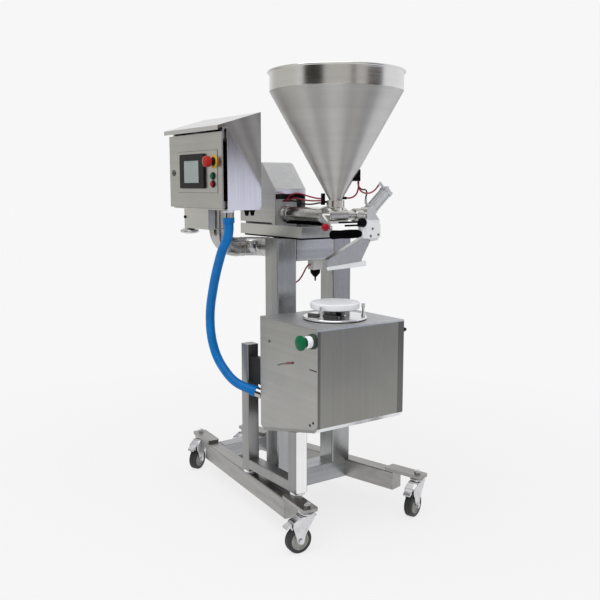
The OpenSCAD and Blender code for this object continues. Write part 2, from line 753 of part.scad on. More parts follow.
module cake_plate() color(white) translate([axis_x, axis_y, 0])
    rotate_extrude($fn = 96)
        polygon(concat(
            [[0, plate_z[0]], [60, plate_z[0]], [cake_d / 2 - 6, plate_z[0] + 2]],
            arc([cake_d / 2 - 5, plate_z[1] - 5], 5, -60, 90, 6),
            [[cake_d / 2 - 12, plate_z[1] - 2], [0, plate_z[1] - 2]]
        ));

module palm_button() color("#1f9a58") translate([palm_at[0], 0, palm_at[1]])
    rotate([90, 0, 0])
        rotate_extrude()
            polygon(concat(
                [[0, 170], [12, 170], [12, 218], [22, 218]],
                arc([23, 222], 4, -90, 0, 4),
                [[27, 228]],
                arc([12, 228], 15, 10, 90, 6),
                [[0, 244]]
            ));

// Stand of the turntable box: post, leg and stretcher, with a pad on the rail and one on the caster plate
module stand_frame() color(steel) {
    translate([0, 0, stand_foot])
        linear_extrude(675 - stand_foot)
            polygon(round_rect([post_x[0], stand_y[0]], [post_x[1], stand_y[1]], 4));
    across_y(stand_y[0], stand_y[1])
        polygon([
            [leg_x[0], leg_foot], [leg_x[1], leg_foot],
            [leg_x[1], floor_z(leg_x[1])], [leg_x[0], floor_z(leg_x[0])]
        ]);
    across_x(post_x[1] - 1, leg_x[0] + 1) polygon(round_rect([stand_y[0], 168], [stand_y[1], 209], 4));
    for (foot = [[post_x, stand_foot], [leg_x, leg_foot]])
        translate([(foot[0][0] + foot[0][1]) / 2, (stand_y[0] + stand_y[1]) / 2, 0])
            rod_z(foot[1] - 8, foot[1] + 1, 40);
}

module stand_block() color(black) block([post_x[1], -175, 528], [box_x[0], -145, 630]);

// Pipe arm: up to the cabinet's floor, back, and into the front column's left face
module elbow() rotate_extrude(angle = 90) translate([arm_bend, 0]) circle(d = arm_d);

module arm_pipe() color(bright) {
    translate([arm_at[0], arm_at[1], 0]) {
        rod_z(arm_z + arm_bend, cab_z - 5, arm_d);
        rod_z(cab_z - 6, cab_z, arm_d + 6);
    }
    translate([arm_at[0], arm_at[1] + arm_bend, arm_z + arm_bend])
        rotate([90, 0, 90])
            rotate([0, 0, 180])
                elbow();
    translate([arm_at[0], 0, arm_z]) rod_y(arm_at[1] + arm_bend, arm_y - arm_bend, arm_d);
    translate([arm_at[0] + arm_bend, arm_y - arm_bend, arm_z]) rotate([0, 0, 90]) elbow();
    translate([0, arm_y, arm_z]) rod_x(arm_at[0] + arm_bend, col_x[0], arm_d);
    across_y(arm_y - 4, arm_y + 4)
        polygon([[col_x[0], arm_z], [col_x[0], 962], [16, arm_z - 30], [16, arm_z]]);
}

// Cabinet body with its sloping roof, the roof's front lip, the lock's flange and the two hinge pins
module cabinet_body() color(steel) {
    difference() {
        across_x(cab_x[0], cab_x[1])
            polygon([
                [cab_y[0], cab_z], [cab_y[1], cab_z], [cab_y[1], 1560], [-352, 1506],
                [-352, 1490], [-349, 1490], [-349, 1500], [cab_y[0], 1500]
            ]);
        across_x(cab_x[0] + cab_t, cab_x[1] - cab_t)
            polygon([
                [cab_y[0] - 1, cab_z + cab_t], [cab_y[1] - cab_t, cab_z + cab_t],
                [cab_y[1] - cab_t, 1550], [cab_y[0] - 1, 1496]
            ]);
    }
    block([cab_x[0] + 1, cab_y[0], cab_z + 1], [cab_x[0] + 16, cab_y[0] + 3, 1498]);
    block([hinge_at[0] - 10, hinge_at[1] - 8, cab_z - 8], [hinge_at[0] + 10, -284, cab_z - 3]);
    block([hinge_at[0] - 10, -306, cab_z - 4], [hinge_at[0] + 10, -284, cab_z + 1]);
    block([hinge_at[0] - 10, hinge_at[1] - 8, door_top + 4], [hinge_at[0] + 10, hinge_at[1] + 10, 1501]);
    translate([hinge_at[0], hinge_at[1], 0]) {
        rod_z(cab_z - 4, door_z[0] + 20, hinge_d);
        rod_z(door_top - 12, door_top + 5, hinge_d);
    }
}

module cabinet_door() color(steel)
    difference() {
        union() {
            difference() {
                block([door_x[0], door_y[0], door_z[0]], [door_x[1], door_y[1], door_z[1]]);
                block(
                    [door_x[0] + door_t, door_y[0] + door_t, door_z[0] + door_t],
                    [door_x[1] - door_t, door_y[1] + 1, door_z[1] - door_t]
                );
            }
            block([-214, door_y[0] - 1.5, 1266], [106, door_y[0] + 1, 1421]);
            for (z = [cab_z + cab_t + 3, door_z[1] - 26])
                block([hinge_at[0] - 9, door_y[0] + 1, z], [hinge_at[0] + 8, hinge_at[1] + 8, z + 26]);
        }
        translate([hinge_at[0], hinge_at[1], 0]) {
            rod_z(door_z[0] - 1, door_z[0] + 21, hinge_d + 2 * run);
            rod_z(door_z[1] - 13, door_z[1] + 1, hinge_d + 2 * run);
        }
        block(
            [screen_x[0] + 12, door_y[0] - 5, screen_z[0] + 10],
            [screen_x[1] - 12, door_y[0] + 5, screen_z[1] - 10]
        );
        for (h = [[estop_at, 24], [start_at, 21], [stop_at, 21], [lock_at, 18 + 2 * run]])
            translate([h[0][0], 0, h[0][1]]) rod_y(door_y[0] - 5, door_y[0] + 5, h[1]);
    }

module door_gasket() color(black)
    across_y(door_y[0] + door_t, cab_y[0] - gap)
        difference() {
            polygon(round_rect([door_x[0] + 4, door_z[0] + 4], [112, door_z[1] - 4], 8));
            polygon(round_rect([door_x[0] + 16, door_z[0] + 16], [100, door_z[1] - 16], 4));
        }

module touch_screen() color("#202329")
    difference() {
        union() {
            across_y(door_y[0] - 10, door_y[0] - 1.5)
                polygon(round_rect([screen_x[0], screen_z[0]], [screen_x[1], screen_z[1]], 6));
            block(
                [screen_x[0] + 13, door_y[0] - 2, screen_z[0] + 11],
                [screen_x[1] - 13, door_y[0] + 14, screen_z[1] - 11]
            );
        }
        block([-146, door_y[0] - 12, 1302], [-26, door_y[0] - 8, 1386]);
    }

module button_collars() color("#e3b81c")
    for (c = [[estop_at, 60, 22, 5], [start_at, 28, 18, 4], [stop_at, 28, 18, 4]])
        translate([c[0][0], 0, c[0][1]])
            difference() {
                rod_y(door_y[0] - 1.5 - c[3], door_y[0] - 1.5, c[1]);
                rod_y(door_y[0] - 20, door_y[0] + 5, c[2] + 2 * run);
            }

module estop_head() color("#c8201f") translate([estop_at[0], 0, estop_at[1]])
    rotate([90, 0, 0])
        rotate_extrude()
            polygon(concat(
                [[0, 322], [11, 322], [11, 342], [14, 346], [16, 350]],
                arc([16, 354], 4, -90, 0, 3),
                arc([16, 369], 4, 0, 60, 3),
                [[10, 375], [0, 377]]
            ));

module push_cap(at) translate([at[0], 0, at[1]])
    rotate([90, 0, 0])
        rotate_extrude()
            polygon([[0, 322], [9, 322], [9, 339], [7.5, 341], [0, 341]]);

module start_button() color("#2c8f5a") push_cap(start_at);

module stop_button() color("#b5362c") push_cap(stop_at);

// Quarter-turn lock: plug, key slot and a tongue behind the door's sheet
module door_lock() color("#55585c") translate([lock_at[0], 0, lock_at[1]])
    difference() {
        union() {
            rod_y(door_y[0] - 3, door_y[0] - gap, 24);
            rod_y(door_y[0] - 1, door_y[0] + 22, 18);
            across_y(door_y[0] + 21, door_y[0] + 24) polygon(round_rect([-9, -30], [9, 9], 8));
        }
        block([-7, door_y[0] - 4, -1.5], [7, door_y[0] + 2, 1.5]);
    }

// Shallow box under the cabinet with a round sounder dish below its left end
module junction_box() color(steel) {
    block([-221, -304, 1124], [-19, -275, cab_z]);
    translate([-207, -288, 0])
        rotate_extrude()
            polygon(concat(
                [[0, 1125], [14, 1125], [34, 1118]],
                arc([30, 1112], 8, 30, -60, 4),
                [[14, 1101], [0, 1100]]
            ));
}

module gland() {
    rotate_extrude() polygon([[0, -22], [5, -22], [7, -18], [9, -6], [9, 0], [0, 0]]);
    translate([0, 0, -6]) cylinder(d = 22, h = 6, $fn = 6);
}

module cable_glands() color(black) {
    for (y = [-216, -192])
        translate([120, y, cab_z]) gland();
    translate([-213, 0, 1168]) rod_y(-308, -304, 12);
    translate([box_x[1] - 14, box_y[1], 760]) rotate([90, 0, 0]) gland();
}

// Ferrules of the blue hose: one under the cabinet, one on the box's left wall
module hose_fittings() color(white) {
    top = hose_points[0];
    translate([top[0], top[1], 0])
        difference() {
            union() {
                rod_z(cab_z - 12, cab_z, 41);
                rod_z(top[2] - 16, cab_z - 11, hose_d + 4);
            }
            rod_z(top[2] - 20, top[2], hose_d + 6 * run);
        }
    difference() {
        union() {
            translate([0, hose_wall[1], hose_wall[2]]) rod_x(box_x[0] - 10, box_x[0], 42);
            translate(hose_wall) hose_axis() rod_z(-20, hose_seat + 16, hose_d + 4);
        }
        translate(hose_wall) hose_axis() rod_z(hose_seat, 200, hose_d + 6 * run);
        block([box_x[0], -300, 400], [box_x[0] + 60, 0, 600]);
    }
}

// Turns +Z to the direction in which the hose leaves the box
module hose_axis()
    rotate([0, acos(hose_dir[2] / norm(hose_dir)), atan2(hose_dir[1], hose_dir[0])]) children();

module blue_hose() color("#1560bd") swept_tube(hose_points, hose_d, 12);

// Air filter under the top beam: head, black bowl and drain
module air_filter() color(black) translate([filter_at[0], filter_at[1], 0]) {
    block([-20, -24, 958], [20, 24, column_top - column_s]);
    rotate_extrude()
        polygon([[0, 912], [3, 912], [3.5, 926], [10, 934], [20, 946], [20, 959], [0, 959]]);
}

module air_tubes() color("#2a2a2c")
    for (route = [filter_tube, upper_tube, middle_tube, lower_tube, neck_tube, red_tube, black_tube])
        swept_tube(route, tube_d, 8);

// Small air blocks: one on a stub beside the hopper's union ring, one on its cone, and a port on its neck
module air_blocks() color(black) {
    difference() {
        union() {
            block([325, -23, 1222], [335, -11, 1264]);
            translate([axis_x, axis_y, 1233]) rotate([0, 0, -130.6]) rod_x(30, 46, 8);
            translate([axis_x, axis_y, 1247]) rotate([0, 0, 53.8]) rod_x(20, 40, 10);
            translate([axis_x, axis_y, 0]) rotate([0, 0, 59]) block([50, -12, 1308], [89, 12, 1350]);
        }
        translate([axis_x, axis_y, 0]) {
            rod_z(1200, 1239.8, 66);
            rotate_extrude($fn = 96)
                polygon([[0, cone_z], [neck_r, cone_z], [hopper_d / 2, hopper_band], [0, hopper_band]]);
        }
    }
}

// Puts the floor point under the middle of the whole machine at the origin
module placed() translate([-middle[0], -middle[1], 0]) children();

placed() base_rails();
placed() cross_beams();
placed() caster_plates();
placed() columns();
placed() top_beam();
placed() tray_pad();
placed() tray();
placed() guard();
placed() air_cylinder();
placed() product_cylinder();
placed() valve_housing();
placed() hopper();
placed() pipe_clamps();
placed() nozzle_body();
placed() nozzle_block();
placed() spreader_nozzle();
placed() spreader_lip();
placed() cutoff_cylinder();
placed() grip();
placed() arm_pipe();
placed() cabinet_body();
placed() junction_box();
placed() cable_glands();
placed() hose_fittings();
placed() blue_hose();
placed() air_filter();
placed() air_tubes();
placed() air_blocks();
placed() turntable_box();
placed() gearmotor();
placed() stand_frame();
placed() stand_block();
placed() turntable_disc();
placed() cake_plate();
placed() piston();
placed() valve_plug();
placed() valve_knob();
placed() cutoff_rod();
placed() trigger_lever();
placed() palm_button();
placed() cabinet_door();
placed() door_gasket();
placed() touch_screen();
placed() button_collars();
placed() estop_head();
placed() start_button();
placed() stop_button();
placed() door_lock();
placed() caster_fork(0);  // caster_fork_a
placed() caster_fork(1);  // caster_fork_b
placed() caster_fork(2);  // caster_fork_c
placed() caster_fork(3);  // caster_fork_d
placed() caster_wheel(0);  // caster_wheel_a
placed() caster_wheel(1);  // caster_wheel_b
placed() caster_wheel(2);  // caster_wheel_c
placed() caster_wheel(3);  // caster_wheel_d
placed() brake_pedal(0);  // brake_pedal_a
placed() brake_pedal(1);  // brake_pedal_b
placed() brake_pedal(2);  // brake_pedal_c
placed() brake_pedal(3);  // brake_pedal_d
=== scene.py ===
"""Studio picture of a cake filling station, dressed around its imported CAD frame.

The layout is in millimetres, measured as the CAD source measures it: the floor is z = 0, the operator
stands on the -Y side and +X is the operator's right. Finished pieces are in metres of the shared frame.
"""

from __future__ import annotations

import json
import logging
import math
from dataclasses import dataclass
from enum import Enum
from typing import Iterable, Sequence

import bmesh
import bpy
from mathutils import Matrix, Vector

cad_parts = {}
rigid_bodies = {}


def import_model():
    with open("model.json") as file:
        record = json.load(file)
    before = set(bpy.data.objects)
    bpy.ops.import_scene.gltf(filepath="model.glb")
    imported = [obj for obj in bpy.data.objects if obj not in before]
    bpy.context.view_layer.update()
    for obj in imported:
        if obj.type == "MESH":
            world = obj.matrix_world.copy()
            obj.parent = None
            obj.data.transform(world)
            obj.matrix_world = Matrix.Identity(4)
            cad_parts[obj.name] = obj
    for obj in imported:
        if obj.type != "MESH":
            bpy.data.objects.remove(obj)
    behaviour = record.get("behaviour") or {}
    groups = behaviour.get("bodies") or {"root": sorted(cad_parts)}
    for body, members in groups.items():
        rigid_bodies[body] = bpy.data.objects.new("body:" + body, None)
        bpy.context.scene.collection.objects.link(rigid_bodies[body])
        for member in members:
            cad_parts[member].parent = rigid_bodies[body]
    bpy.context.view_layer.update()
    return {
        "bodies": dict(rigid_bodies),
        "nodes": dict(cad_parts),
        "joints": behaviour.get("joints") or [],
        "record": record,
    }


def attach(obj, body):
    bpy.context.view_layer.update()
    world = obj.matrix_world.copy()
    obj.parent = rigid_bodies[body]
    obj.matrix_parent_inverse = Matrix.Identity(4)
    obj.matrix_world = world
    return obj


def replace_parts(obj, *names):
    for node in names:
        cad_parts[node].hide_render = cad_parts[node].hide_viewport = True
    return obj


LOG = logging.getLogger("filling_station")

MM = 0.001
MIDDLE = Vector((40.75, 2.5, 0.0))

Point = tuple[float, float, float]
Pair = tuple[float, float]
Colour = tuple[float, float, float]
Socket = bpy.types.NodeSocket
Value = float | Sequence[float] | Socket
Tint = Colour | Socket


def at(x: float, y: float, z: float) -> Vector:
    """Turn a layout point in millimetres into metres of the shared frame."""
    return (Vector((x, y, z)) - MIDDLE) * MM


class Axis(Enum):
    """Direction of a turned or extruded shape, as the turn that carries +Z there."""

    X = Matrix(((0, 0, 1), (1, 0, 0), (0, 1, 0))).to_4x4()
    Y = Matrix(((0, 1, 0), (0, 0, 1), (1, 0, 0))).to_4x4()
    Z = Matrix.Identity(4)


class Grain(Enum):
    """Scale of a metal's brushing per metre along X, Y and Z, small in the direction it runs in."""

    ALONG_X = (5.0, 700.0, 700.0)
    ALONG_Y = (700.0, 5.0, 700.0)
    ALONG_Z = (700.0, 700.0, 5.0)
    ROUND_Z = (8.0, 8.0, 600.0)
    ROUND_X = (600.0, 8.0, 8.0)
    SATIN = (420.0, 420.0, 420.0)


class Wiring:
    """A node tree, with short ways to add nodes and to link them."""

    def __init__(self, tree: bpy.types.NodeTree) -> None:
        """Keep the tree that the nodes are added to."""
        self.tree = tree

    def put(self, socket: Socket, value: Value) -> None:
        """Link a socket to a source, or set its constant.

        Args:
            socket: The input socket.
            value: The source's socket, or the constant.
        """
        if isinstance(value, Socket):
            self.tree.links.new(value, socket)
        else:
            socket.default_value = value

    def fill(self, node: bpy.types.Node, **values: Value) -> bpy.types.Node:
        """Fill a node's inputs by name.

        Args:
            node: The node.
            values: Value of each input, named with underscores for blanks.

        Returns:
            The node.
        """
        for name, value in values.items():
            self.put(node.inputs[name.replace("_", " ")], value)
        return node

    def row(self, node: bpy.types.Node, *values: Value) -> bpy.types.Node:
        """Fill a node's inputs in their order.

        Args:
            node: The node.
            values: Value of each input.

        Returns:
            The node.
        """
        for socket, value in zip(node.inputs, values):
            self.put(socket, value)
        return node

    def node(self, kind: str, **values: Value) -> bpy.types.Node:
        """Add a shader node of a kind and fill its inputs by name."""
        return self.fill(self.tree.nodes.new(f"ShaderNode{kind}"), **values)

    def maths(self, operation: str, *values: Value) -> Socket:
        """Add a Math node.

        Args:
            operation: What it does.
            values: Its operands.

        Returns:
            The socket with the number.
        """
        node = self.node("Math")
        node.operation = operation
        return self.row(node, *values).outputs["Value"]

    def vector(self, operation: str, *values: Value) -> Socket:
        """Add a Vector Math node.

        Args:
            operation: What it does.
            values: Its operands.

        Returns:
            The socket with the number of LENGTH and DOT_PRODUCT, or else with the vector.
        """
        node = self.node("VectorMath")
        node.operation = operation
        result = "Value" if operation in ("LENGTH", "DOT_PRODUCT") else "Vector"
        return self.row(node, *values).outputs[result]

    def spread(
        self, value: Socket, low: float = 0.0, high: float = 1.0, start: float = 0.3, end: float = 0.7
    ) -> Socket:
        """Map a value to a range.

        Args:
            value: The value's socket.
            low: Result at start.
            high: Result at end.
            start: Value that gives low.
            end: Value that gives high.

        Returns:
            The socket with the mapped value.
        """
        node = self.node("MapRange", Value=value, From_Min=start, From_Max=end, To_Min=low, To_Max=high)
        return node.outputs["Result"]

    def within(self, angle: Socket, reach: Pair) -> Socket:
        """Add a soft mask of the angles below a limit.

        Args:
            angle: Socket of the angle in radians.
            reach: The limit and the softness of its edge, in degrees.

        Returns:
            The socket with the mask's value.
        """
        limit, soft = reach
        node = self.node(
            "MapRange", Value=angle, From_Min=math.radians(limit + soft), From_Max=math.radians(limit - soft)
        )
        node.interpolation_type = "SMOOTHSTEP"
        return node.outputs["Result"]

    def mixed(self, factor: Value, first: Tint, second: Tint, kind: str = "MIX") -> Socket:
        """Mix two colours, each given as a colour or as a socket.

        Args:
            factor: The second colour's share.
            first: Colour at 0.
            second: Colour at 1.
            kind: How the second is laid on the first.

        Returns:
            The socket with the colour.
        """
        node = self.node("Mix", Factor=factor)
        node.data_type = "RGBA"
        node.blend_type = kind
        inputs = [socket for socket in node.inputs if socket.type == "RGBA"]
        for socket, colour in zip(inputs, (first, second)):
            self.put(socket, colour if isinstance(colour, Socket) else (*colour, 1.0))
        return next(socket for socket in node.outputs if socket.type == "RGBA")

    def seen_directly(self) -> Socket:
        """Return a socket that is 1 where the camera, a mirror or glass shows the surface."""
        rays = self.node("LightPath").outputs
        mirrored = self.maths("MAXIMUM", rays["Is Camera Ray"], rays["Is Glossy Ray"])
        return self.maths("MAXIMUM", mirrored, rays["Is Transmission Ray"])


class Graph(Wiring):
    """The node tree of one material, with its shader ready to be filled."""

    def __init__(self, name: str) -> None:
        """Start a material.

        Args:
            name: The material's name.
        """
        self.material = bpy.data.materials.new(name)
        self.material.use_nodes = True
        super().__init__(self.material.node_tree)
        self.shader = self.tree.nodes["Principled BSDF"]
        self.place = self.node("TexCoord").outputs["Object"]

    def noise(self, scale: Sequence[float], detail: float) -> Socket:
        """Add a noise pattern on Object coordinates.

        Args:
            scale: Repeats per metre along X, Y and Z.
            detail: Octaves of the noise.

        Returns:
            The socket with the pattern's value.
        """
        mapping = self.node("Mapping", Vector=self.place, Scale=scale)
        place = mapping.outputs["Vector"]
        return self.node("TexNoise", Vector=place, Scale=1.0, Detail=detail).outputs["Fac"]

    def varied(self, tone: Colour, contrast: float, pattern: Socket) -> Socket:
        """Darken and lighten a colour by a pattern.

        Args:
            tone: The colour.
            contrast: Share by which it varies.
            pattern: The pattern's socket.

        Returns:
            The socket with the colour.
        """
        return self.mixed(self.spread(pattern), shaded(tone, 1 - contrast), shaded(tone, 1 + contrast))

    def set(self, **values: Value) -> None:
        """Fill the shader's inputs, named with underscores for blanks."""
        self.fill(self.shader, **values)

    def bump(self, source: Socket, strength: float, distance: float) -> None:
        """Raise the surface by a pattern.

        Args:
            source: The pattern's socket.
            strength: Share of the full relief.
            distance: Full relief in metres.
        """
        node = self.node("Bump", Height=source, Strength=strength, Distance=distance)
        self.set(Normal=node.outputs["Normal"])


def shaded(colour: Colour, factor: float) -> Colour:
    """Return a colour made darker or lighter by a factor."""
    return tuple(min(1.0, part * factor) for part in colour)


# Patches are counted per metre, depths are in metres, and a streak is as many brush lines wide as it says.
STREAK_WIDTH = 12
STEEL_PATCHES = 7.0
STEEL_CLOUD = ((0.93, 0.93, 0.94), (1.0, 1.0, 0.99))
BRUSHING_DEPTH = 0.0002
QUARTER_TURN = 0.25
MOULDED_PATCHES = 24.0
MOULDED_DEPTH = 0.0003


@dataclass(frozen=True)
class Steel:
    """Stainless steel with brushing, faint streaks and patchy polish.

    Attributes:
        name: Name of the finish.
        slot: The record's material slot.
        tone: Colour of the metal.
        roughness: Middle of its roughness.
        grain: How it was brushed.
        streak: Contrast of the streaks along the brushing.
        relief: Strength of the brushing's relief.
        drawn: How far the brushing round the Z axis draws reflections out along it, from 0 to 1.
    """

    name: str
    slot: str
    tone: Colour
    roughness: float
    grain: Grain
    streak: float = 0.1
    relief: float = 0.02
    drawn: float = 0.0

    def material(self) -> bpy.types.Material:
        """Build the node material, once for each finish."""
        if self.name in bpy.data.materials:
            return bpy.data.materials[self.name]
        graph = Graph(self.name)
        fine = graph.noise(self.grain.value, 4.0)
        wide = graph.noise([part / STREAK_WIDTH for part in self.grain.value], 2.0)
        patch = graph.noise((STEEL_PATCHES,) * 3, 2.0)
        streaks = graph.varied(self.tone, self.streak, wide)
        cloud = graph.mixed(graph.spread(patch), *STEEL_CLOUD)
        graph.set(
            Base_Color=graph.mixed(1.0, streaks, cloud, "MULTIPLY"),
            Roughness=graph.spread(fine, self.roughness - 0.05, self.roughness + 0.07),
            Metallic=1.0,
            Anisotropic=self.drawn,
            Anisotropic_Rotation=QUARTER_TURN,
        )
        graph.bump(fine, self.relief, BRUSHING_DEPTH)
        return graph.material


@dataclass(frozen=True)
class Moulded:
    """Plastic, rubber or enamel with a fine texture and a little variation.

    Attributes:
        name: Name of the finish.
        slot: The record's material slot.
        tone: Colour of the material.
        roughness: Middle of its roughness.
        texture: Repeats of the surface texture per metre.
        relief: Strength of the texture's relief.
        variation: Contrast of the colour's variation.
        gloss: The shader's specular level.
    """

    name: str
    slot: str
    tone: Colour
    roughness: float
    texture: float = 900.0
    relief: float = 0.1
    variation: float = 0.12
    gloss: float = 0.3

    def material(self) -> bpy.types.Material:
        """Build the node material, once for each finish."""
        if self.name in bpy.data.materials:
            return bpy.data.materials[self.name]
        graph = Graph(self.name)
        pits = graph.noise((self.texture,) * 3, 2.0)
        patch = graph.noise((MOULDED_PATCHES,) * 3, 3.0)
        graph.set(
            Base_Color=graph.varied(self.tone, self.variation, patch),
            Roughness=graph.spread(patch, self.roughness - 0.04, self.roughness + 0.05),
            Specular_IOR_Level=self.gloss,
        )
        graph.bump(pits, self.relief, MOULDED_DEPTH)
        return graph.material


Finish = Steel | Moulded


class Finishes:
    """The finishes of the machine."""

    RAIL = Steel("rail steel", "frame_steel", (0.357, 0.35, 0.34), 0.28, Grain.ALONG_X)
    COLUMN = Steel("column steel", "frame_steel", (0.42, 0.425, 0.43), 0.28, Grain.ALONG_Z, 0.06)
    CROSS = Steel("cross beam steel", "frame_steel", (0.4, 0.41, 0.43), 0.26, Grain.ALONG_Y)
    BEAM = Steel("beam steel", "frame_steel", (0.54, 0.545, 0.55), 0.26, Grain.ALONG_Y)
    STAND = Steel("stand steel", "frame_steel", (0.33, 0.33, 0.33), 0.34, Grain.ALONG_Z, 0.06)
    LEG = Steel("mirror leg", "frame_steel", (0.93, 0.93, 0.93), 0.1, Grain.ALONG_Z, 0.03, 0.01)
    SHEET = Steel("satin sheet", "sheet_steel", (0.41, 0.407, 0.395), 0.32, Grain.ALONG_X, 0.04)
    TOP = Steel("top sheet", "sheet_steel", (0.55, 0.555, 0.565), 0.5, Grain.ALONG_X, 0.04)
    PANEL = Steel("side panel", "sheet_steel", (0.3, 0.297, 0.28), 0.32, Grain.ALONG_Z, 0.025, 0.008)
    TRAY = Steel("tray sheet", "sheet_steel", (0.65, 0.65, 0.64), 0.32, Grain.ALONG_X, 0.04)
    EDGE = Steel("folded edge", "sheet_steel", (0.17, 0.17, 0.165), 0.3, Grain.ALONG_Z, 0.04)
    # Bright bluish steel whose colour paints the highlights and floor reflections along edges.
    PAINTED_HIGHLIGHT = Steel("ground edge", "sheet_steel", (0.85, 0.86, 0.9), 0.18, Grain.ALONG_Y, 0.04)
    DOOR = Steel("door sheet", "sheet_steel", (0.54, 0.537, 0.525), 0.32, Grain.ALONG_X, 0.04)
    SIDE = Steel("cabinet sheet", "sheet_steel", (0.64, 0.635, 0.65), 0.1, Grain.ALONG_Z, 0.015, 0.004)
    GUARD = Steel("guard sheet", "sheet_steel", (0.56, 0.56, 0.56), 0.3, Grain.ALONG_X, 0.05)
    BRIGHT = Steel("turned steel", "bright_steel", (0.7, 0.695, 0.67), 0.24, Grain.ROUND_X, 0.05, 0.004)
    CAST = Steel("caster steel", "bright_steel", (0.7, 0.7, 0.72), 0.22, Grain.SATIN)
    DARK = Steel("blackened steel", "bright_steel", (0.15, 0.15, 0.148), 0.34, Grain.SATIN)
    POLISHED = Steel("polished pipe", "polished_steel", (0.47, 0.465, 0.46), 0.18, Grain.SATIN, 0.03, 0.0)
    WELD = Steel("weld bead", "polished_steel", (0.4, 0.38, 0.36), 0.3, Grain.SATIN, 0.15, 0.08)
    SPUN = Steel("spun hopper", "hopper_steel", (0.68, 0.672, 0.66), 0.18, Grain.ROUND_Z, 0.03, 0.01)
    CONE = Steel("spun cone", "hopper_steel", (0.8, 0.792, 0.78), 0.56, Grain.ROUND_Z, 0.03, 0.01, 1.0)
    DISC = Steel("turned disc", "hopper_steel", (0.88, 0.88, 0.9), 0.16, Grain.ROUND_Z, 0.03)
    ALLOY = Moulded("anodised alloy", "bright_steel", (0.6, 0.61, 0.63), 0.4, variation=0.05)
    WHITE = Moulded("white machined plastic", "white_plastic", (0.88, 0.89, 0.92), 0.38, variation=0.03)
    BLACK = Moulded("black plastic", "black_plastic", (0.003, 0.003, 0.004), 0.4, gloss=0.05)
    HEAD = Moulded("filter head", "black_plastic", (0.78, 0.76, 0.74), 0.4, variation=0.06)
    RUBBER = Moulded("black rubber", "black_rubber", (0.002, 0.002, 0.0025), 0.6, relief=0.25, gloss=0.012)
    SPACER = Moulded("spacer rubber", "black_rubber", (0.022, 0.021, 0.022), 0.5, relief=0.2, gloss=0.15)
    RED = Moulded("red plastic", "red_plastic", (0.33, 0.004, 0.018), 0.26, gloss=0.18)
    ESTOP = Moulded("stop red", "red_plastic", (0.37, 0.016, 0.009), 0.3, gloss=0.25)
    TIP = Moulded("worn red grip", "red_plastic", (0.17, 0.055, 0.045), 0.4)
    STEM = Moulded("stop stem", "red_plastic", (0.02, 0.006, 0.005), 0.34, gloss=0.2)
    GREEN = Moulded("green plastic", "green_plastic", (0.0015, 0.125, 0.05), 0.24, gloss=0.14)
    FLANGE = Moulded("switch flange", "green_plastic", (0.035, 0.06, 0.045), 0.4, gloss=0.2)
    YELLOW = Moulded("yellow plastic", "yellow_plastic", (0.6, 0.36, 0.012), 0.32)
    COLLAR = Moulded("black collar", "yellow_plastic", (0.006, 0.006, 0.007), 0.34, gloss=0.15)
    BEZEL = Moulded("screen bezel", "screen_black", (0.006, 0.006, 0.008), 0.32, gloss=0.15)
    DISPLAY = Moulded("grey display", "screen_black", (0.3, 0.345, 0.345), 0.22, variation=0.05)
    HOSE = Moulded("blue hose skin", "blue_hose", (0.001, 0.16, 0.49), 0.34, gloss=0.2)
    TUBE = Moulded("black air tube", "air_tube", (0.008, 0.006, 0.008), 0.3, gloss=0.2)
    RED_TUBE = Moulded("red air tube", "air_tube", (0.3, 0.008, 0.03), 0.3)
    MOTOR = Moulded("motor enamel", "motor_grey", (0.12, 0.125, 0.13), 0.4)
    TYRE = Moulded("grey tyre", "tyre_rubber", (0.04, 0.041, 0.043), 0.5, relief=0.25)
    HUB = Moulded("wheel core", "tyre_rubber", (0.4, 0.4, 0.375), 0.42)


def finish_mesh(shape: bmesh.types.BMesh, name: str, sharp: float) -> bpy.types.Object:
    """Turn a bmesh in metres into a linked object with smooth shading between sharp edges.

    Args:
        shape: The mesh, which is freed.
        name: The object's name.
        sharp: Angle in degrees above which an edge stays sharp.

    Returns:
        The object.
    """
    mesh = bpy.data.meshes.new(name)
    shape.to_mesh(mesh)
    shape.free()
    mesh.polygons.foreach_set("use_smooth", [True] * len(mesh.polygons))
    mesh.set_sharp_from_angle(angle=math.radians(sharp))
    piece = bpy.data.objects.new(name, mesh)
    bpy.context.scene.collection.objects.link(piece)
    shading = piece.modifiers.new("flat faces", "WEIGHTED_NORMAL")
    shading.keep_sharp = True
    return piece


def fit_out(piece: bpy.types.Object, body: str, finish: Finish) -> bpy.types.Object:
    """Give a piece its finish and the body that it rides on.

    Args:
        piece: The piece, in place.
        body: Name of the CAD body.
        finish: The finish.

    Returns:
        The piece.
    """
    piece.data.materials.append(finish.material())
    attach(piece, body)
    LOG.info("%s rides on %s in %s", piece.name, body, finish.name)
    return piece


def round_edges(mesh: bmesh.types.BMesh, edges: Iterable[bmesh.types.BMEdge], width: float) -> None:
    """Round some edges of a mesh, or leave them as they are where the width is 0.

    Args:
        mesh: The mesh.
        edges: The edges.
        width: Width of the rounding in the mesh's own unit.
    """
    if width:
        bmesh.ops.bevel(
            mesh,
            geom=list(edges),
            offset=width,
            offset_type="OFFSET",
            segments=2,
            profile=0.5,
            affect="EDGES",
            clamp_overlap=True,
            material=-1,
        )


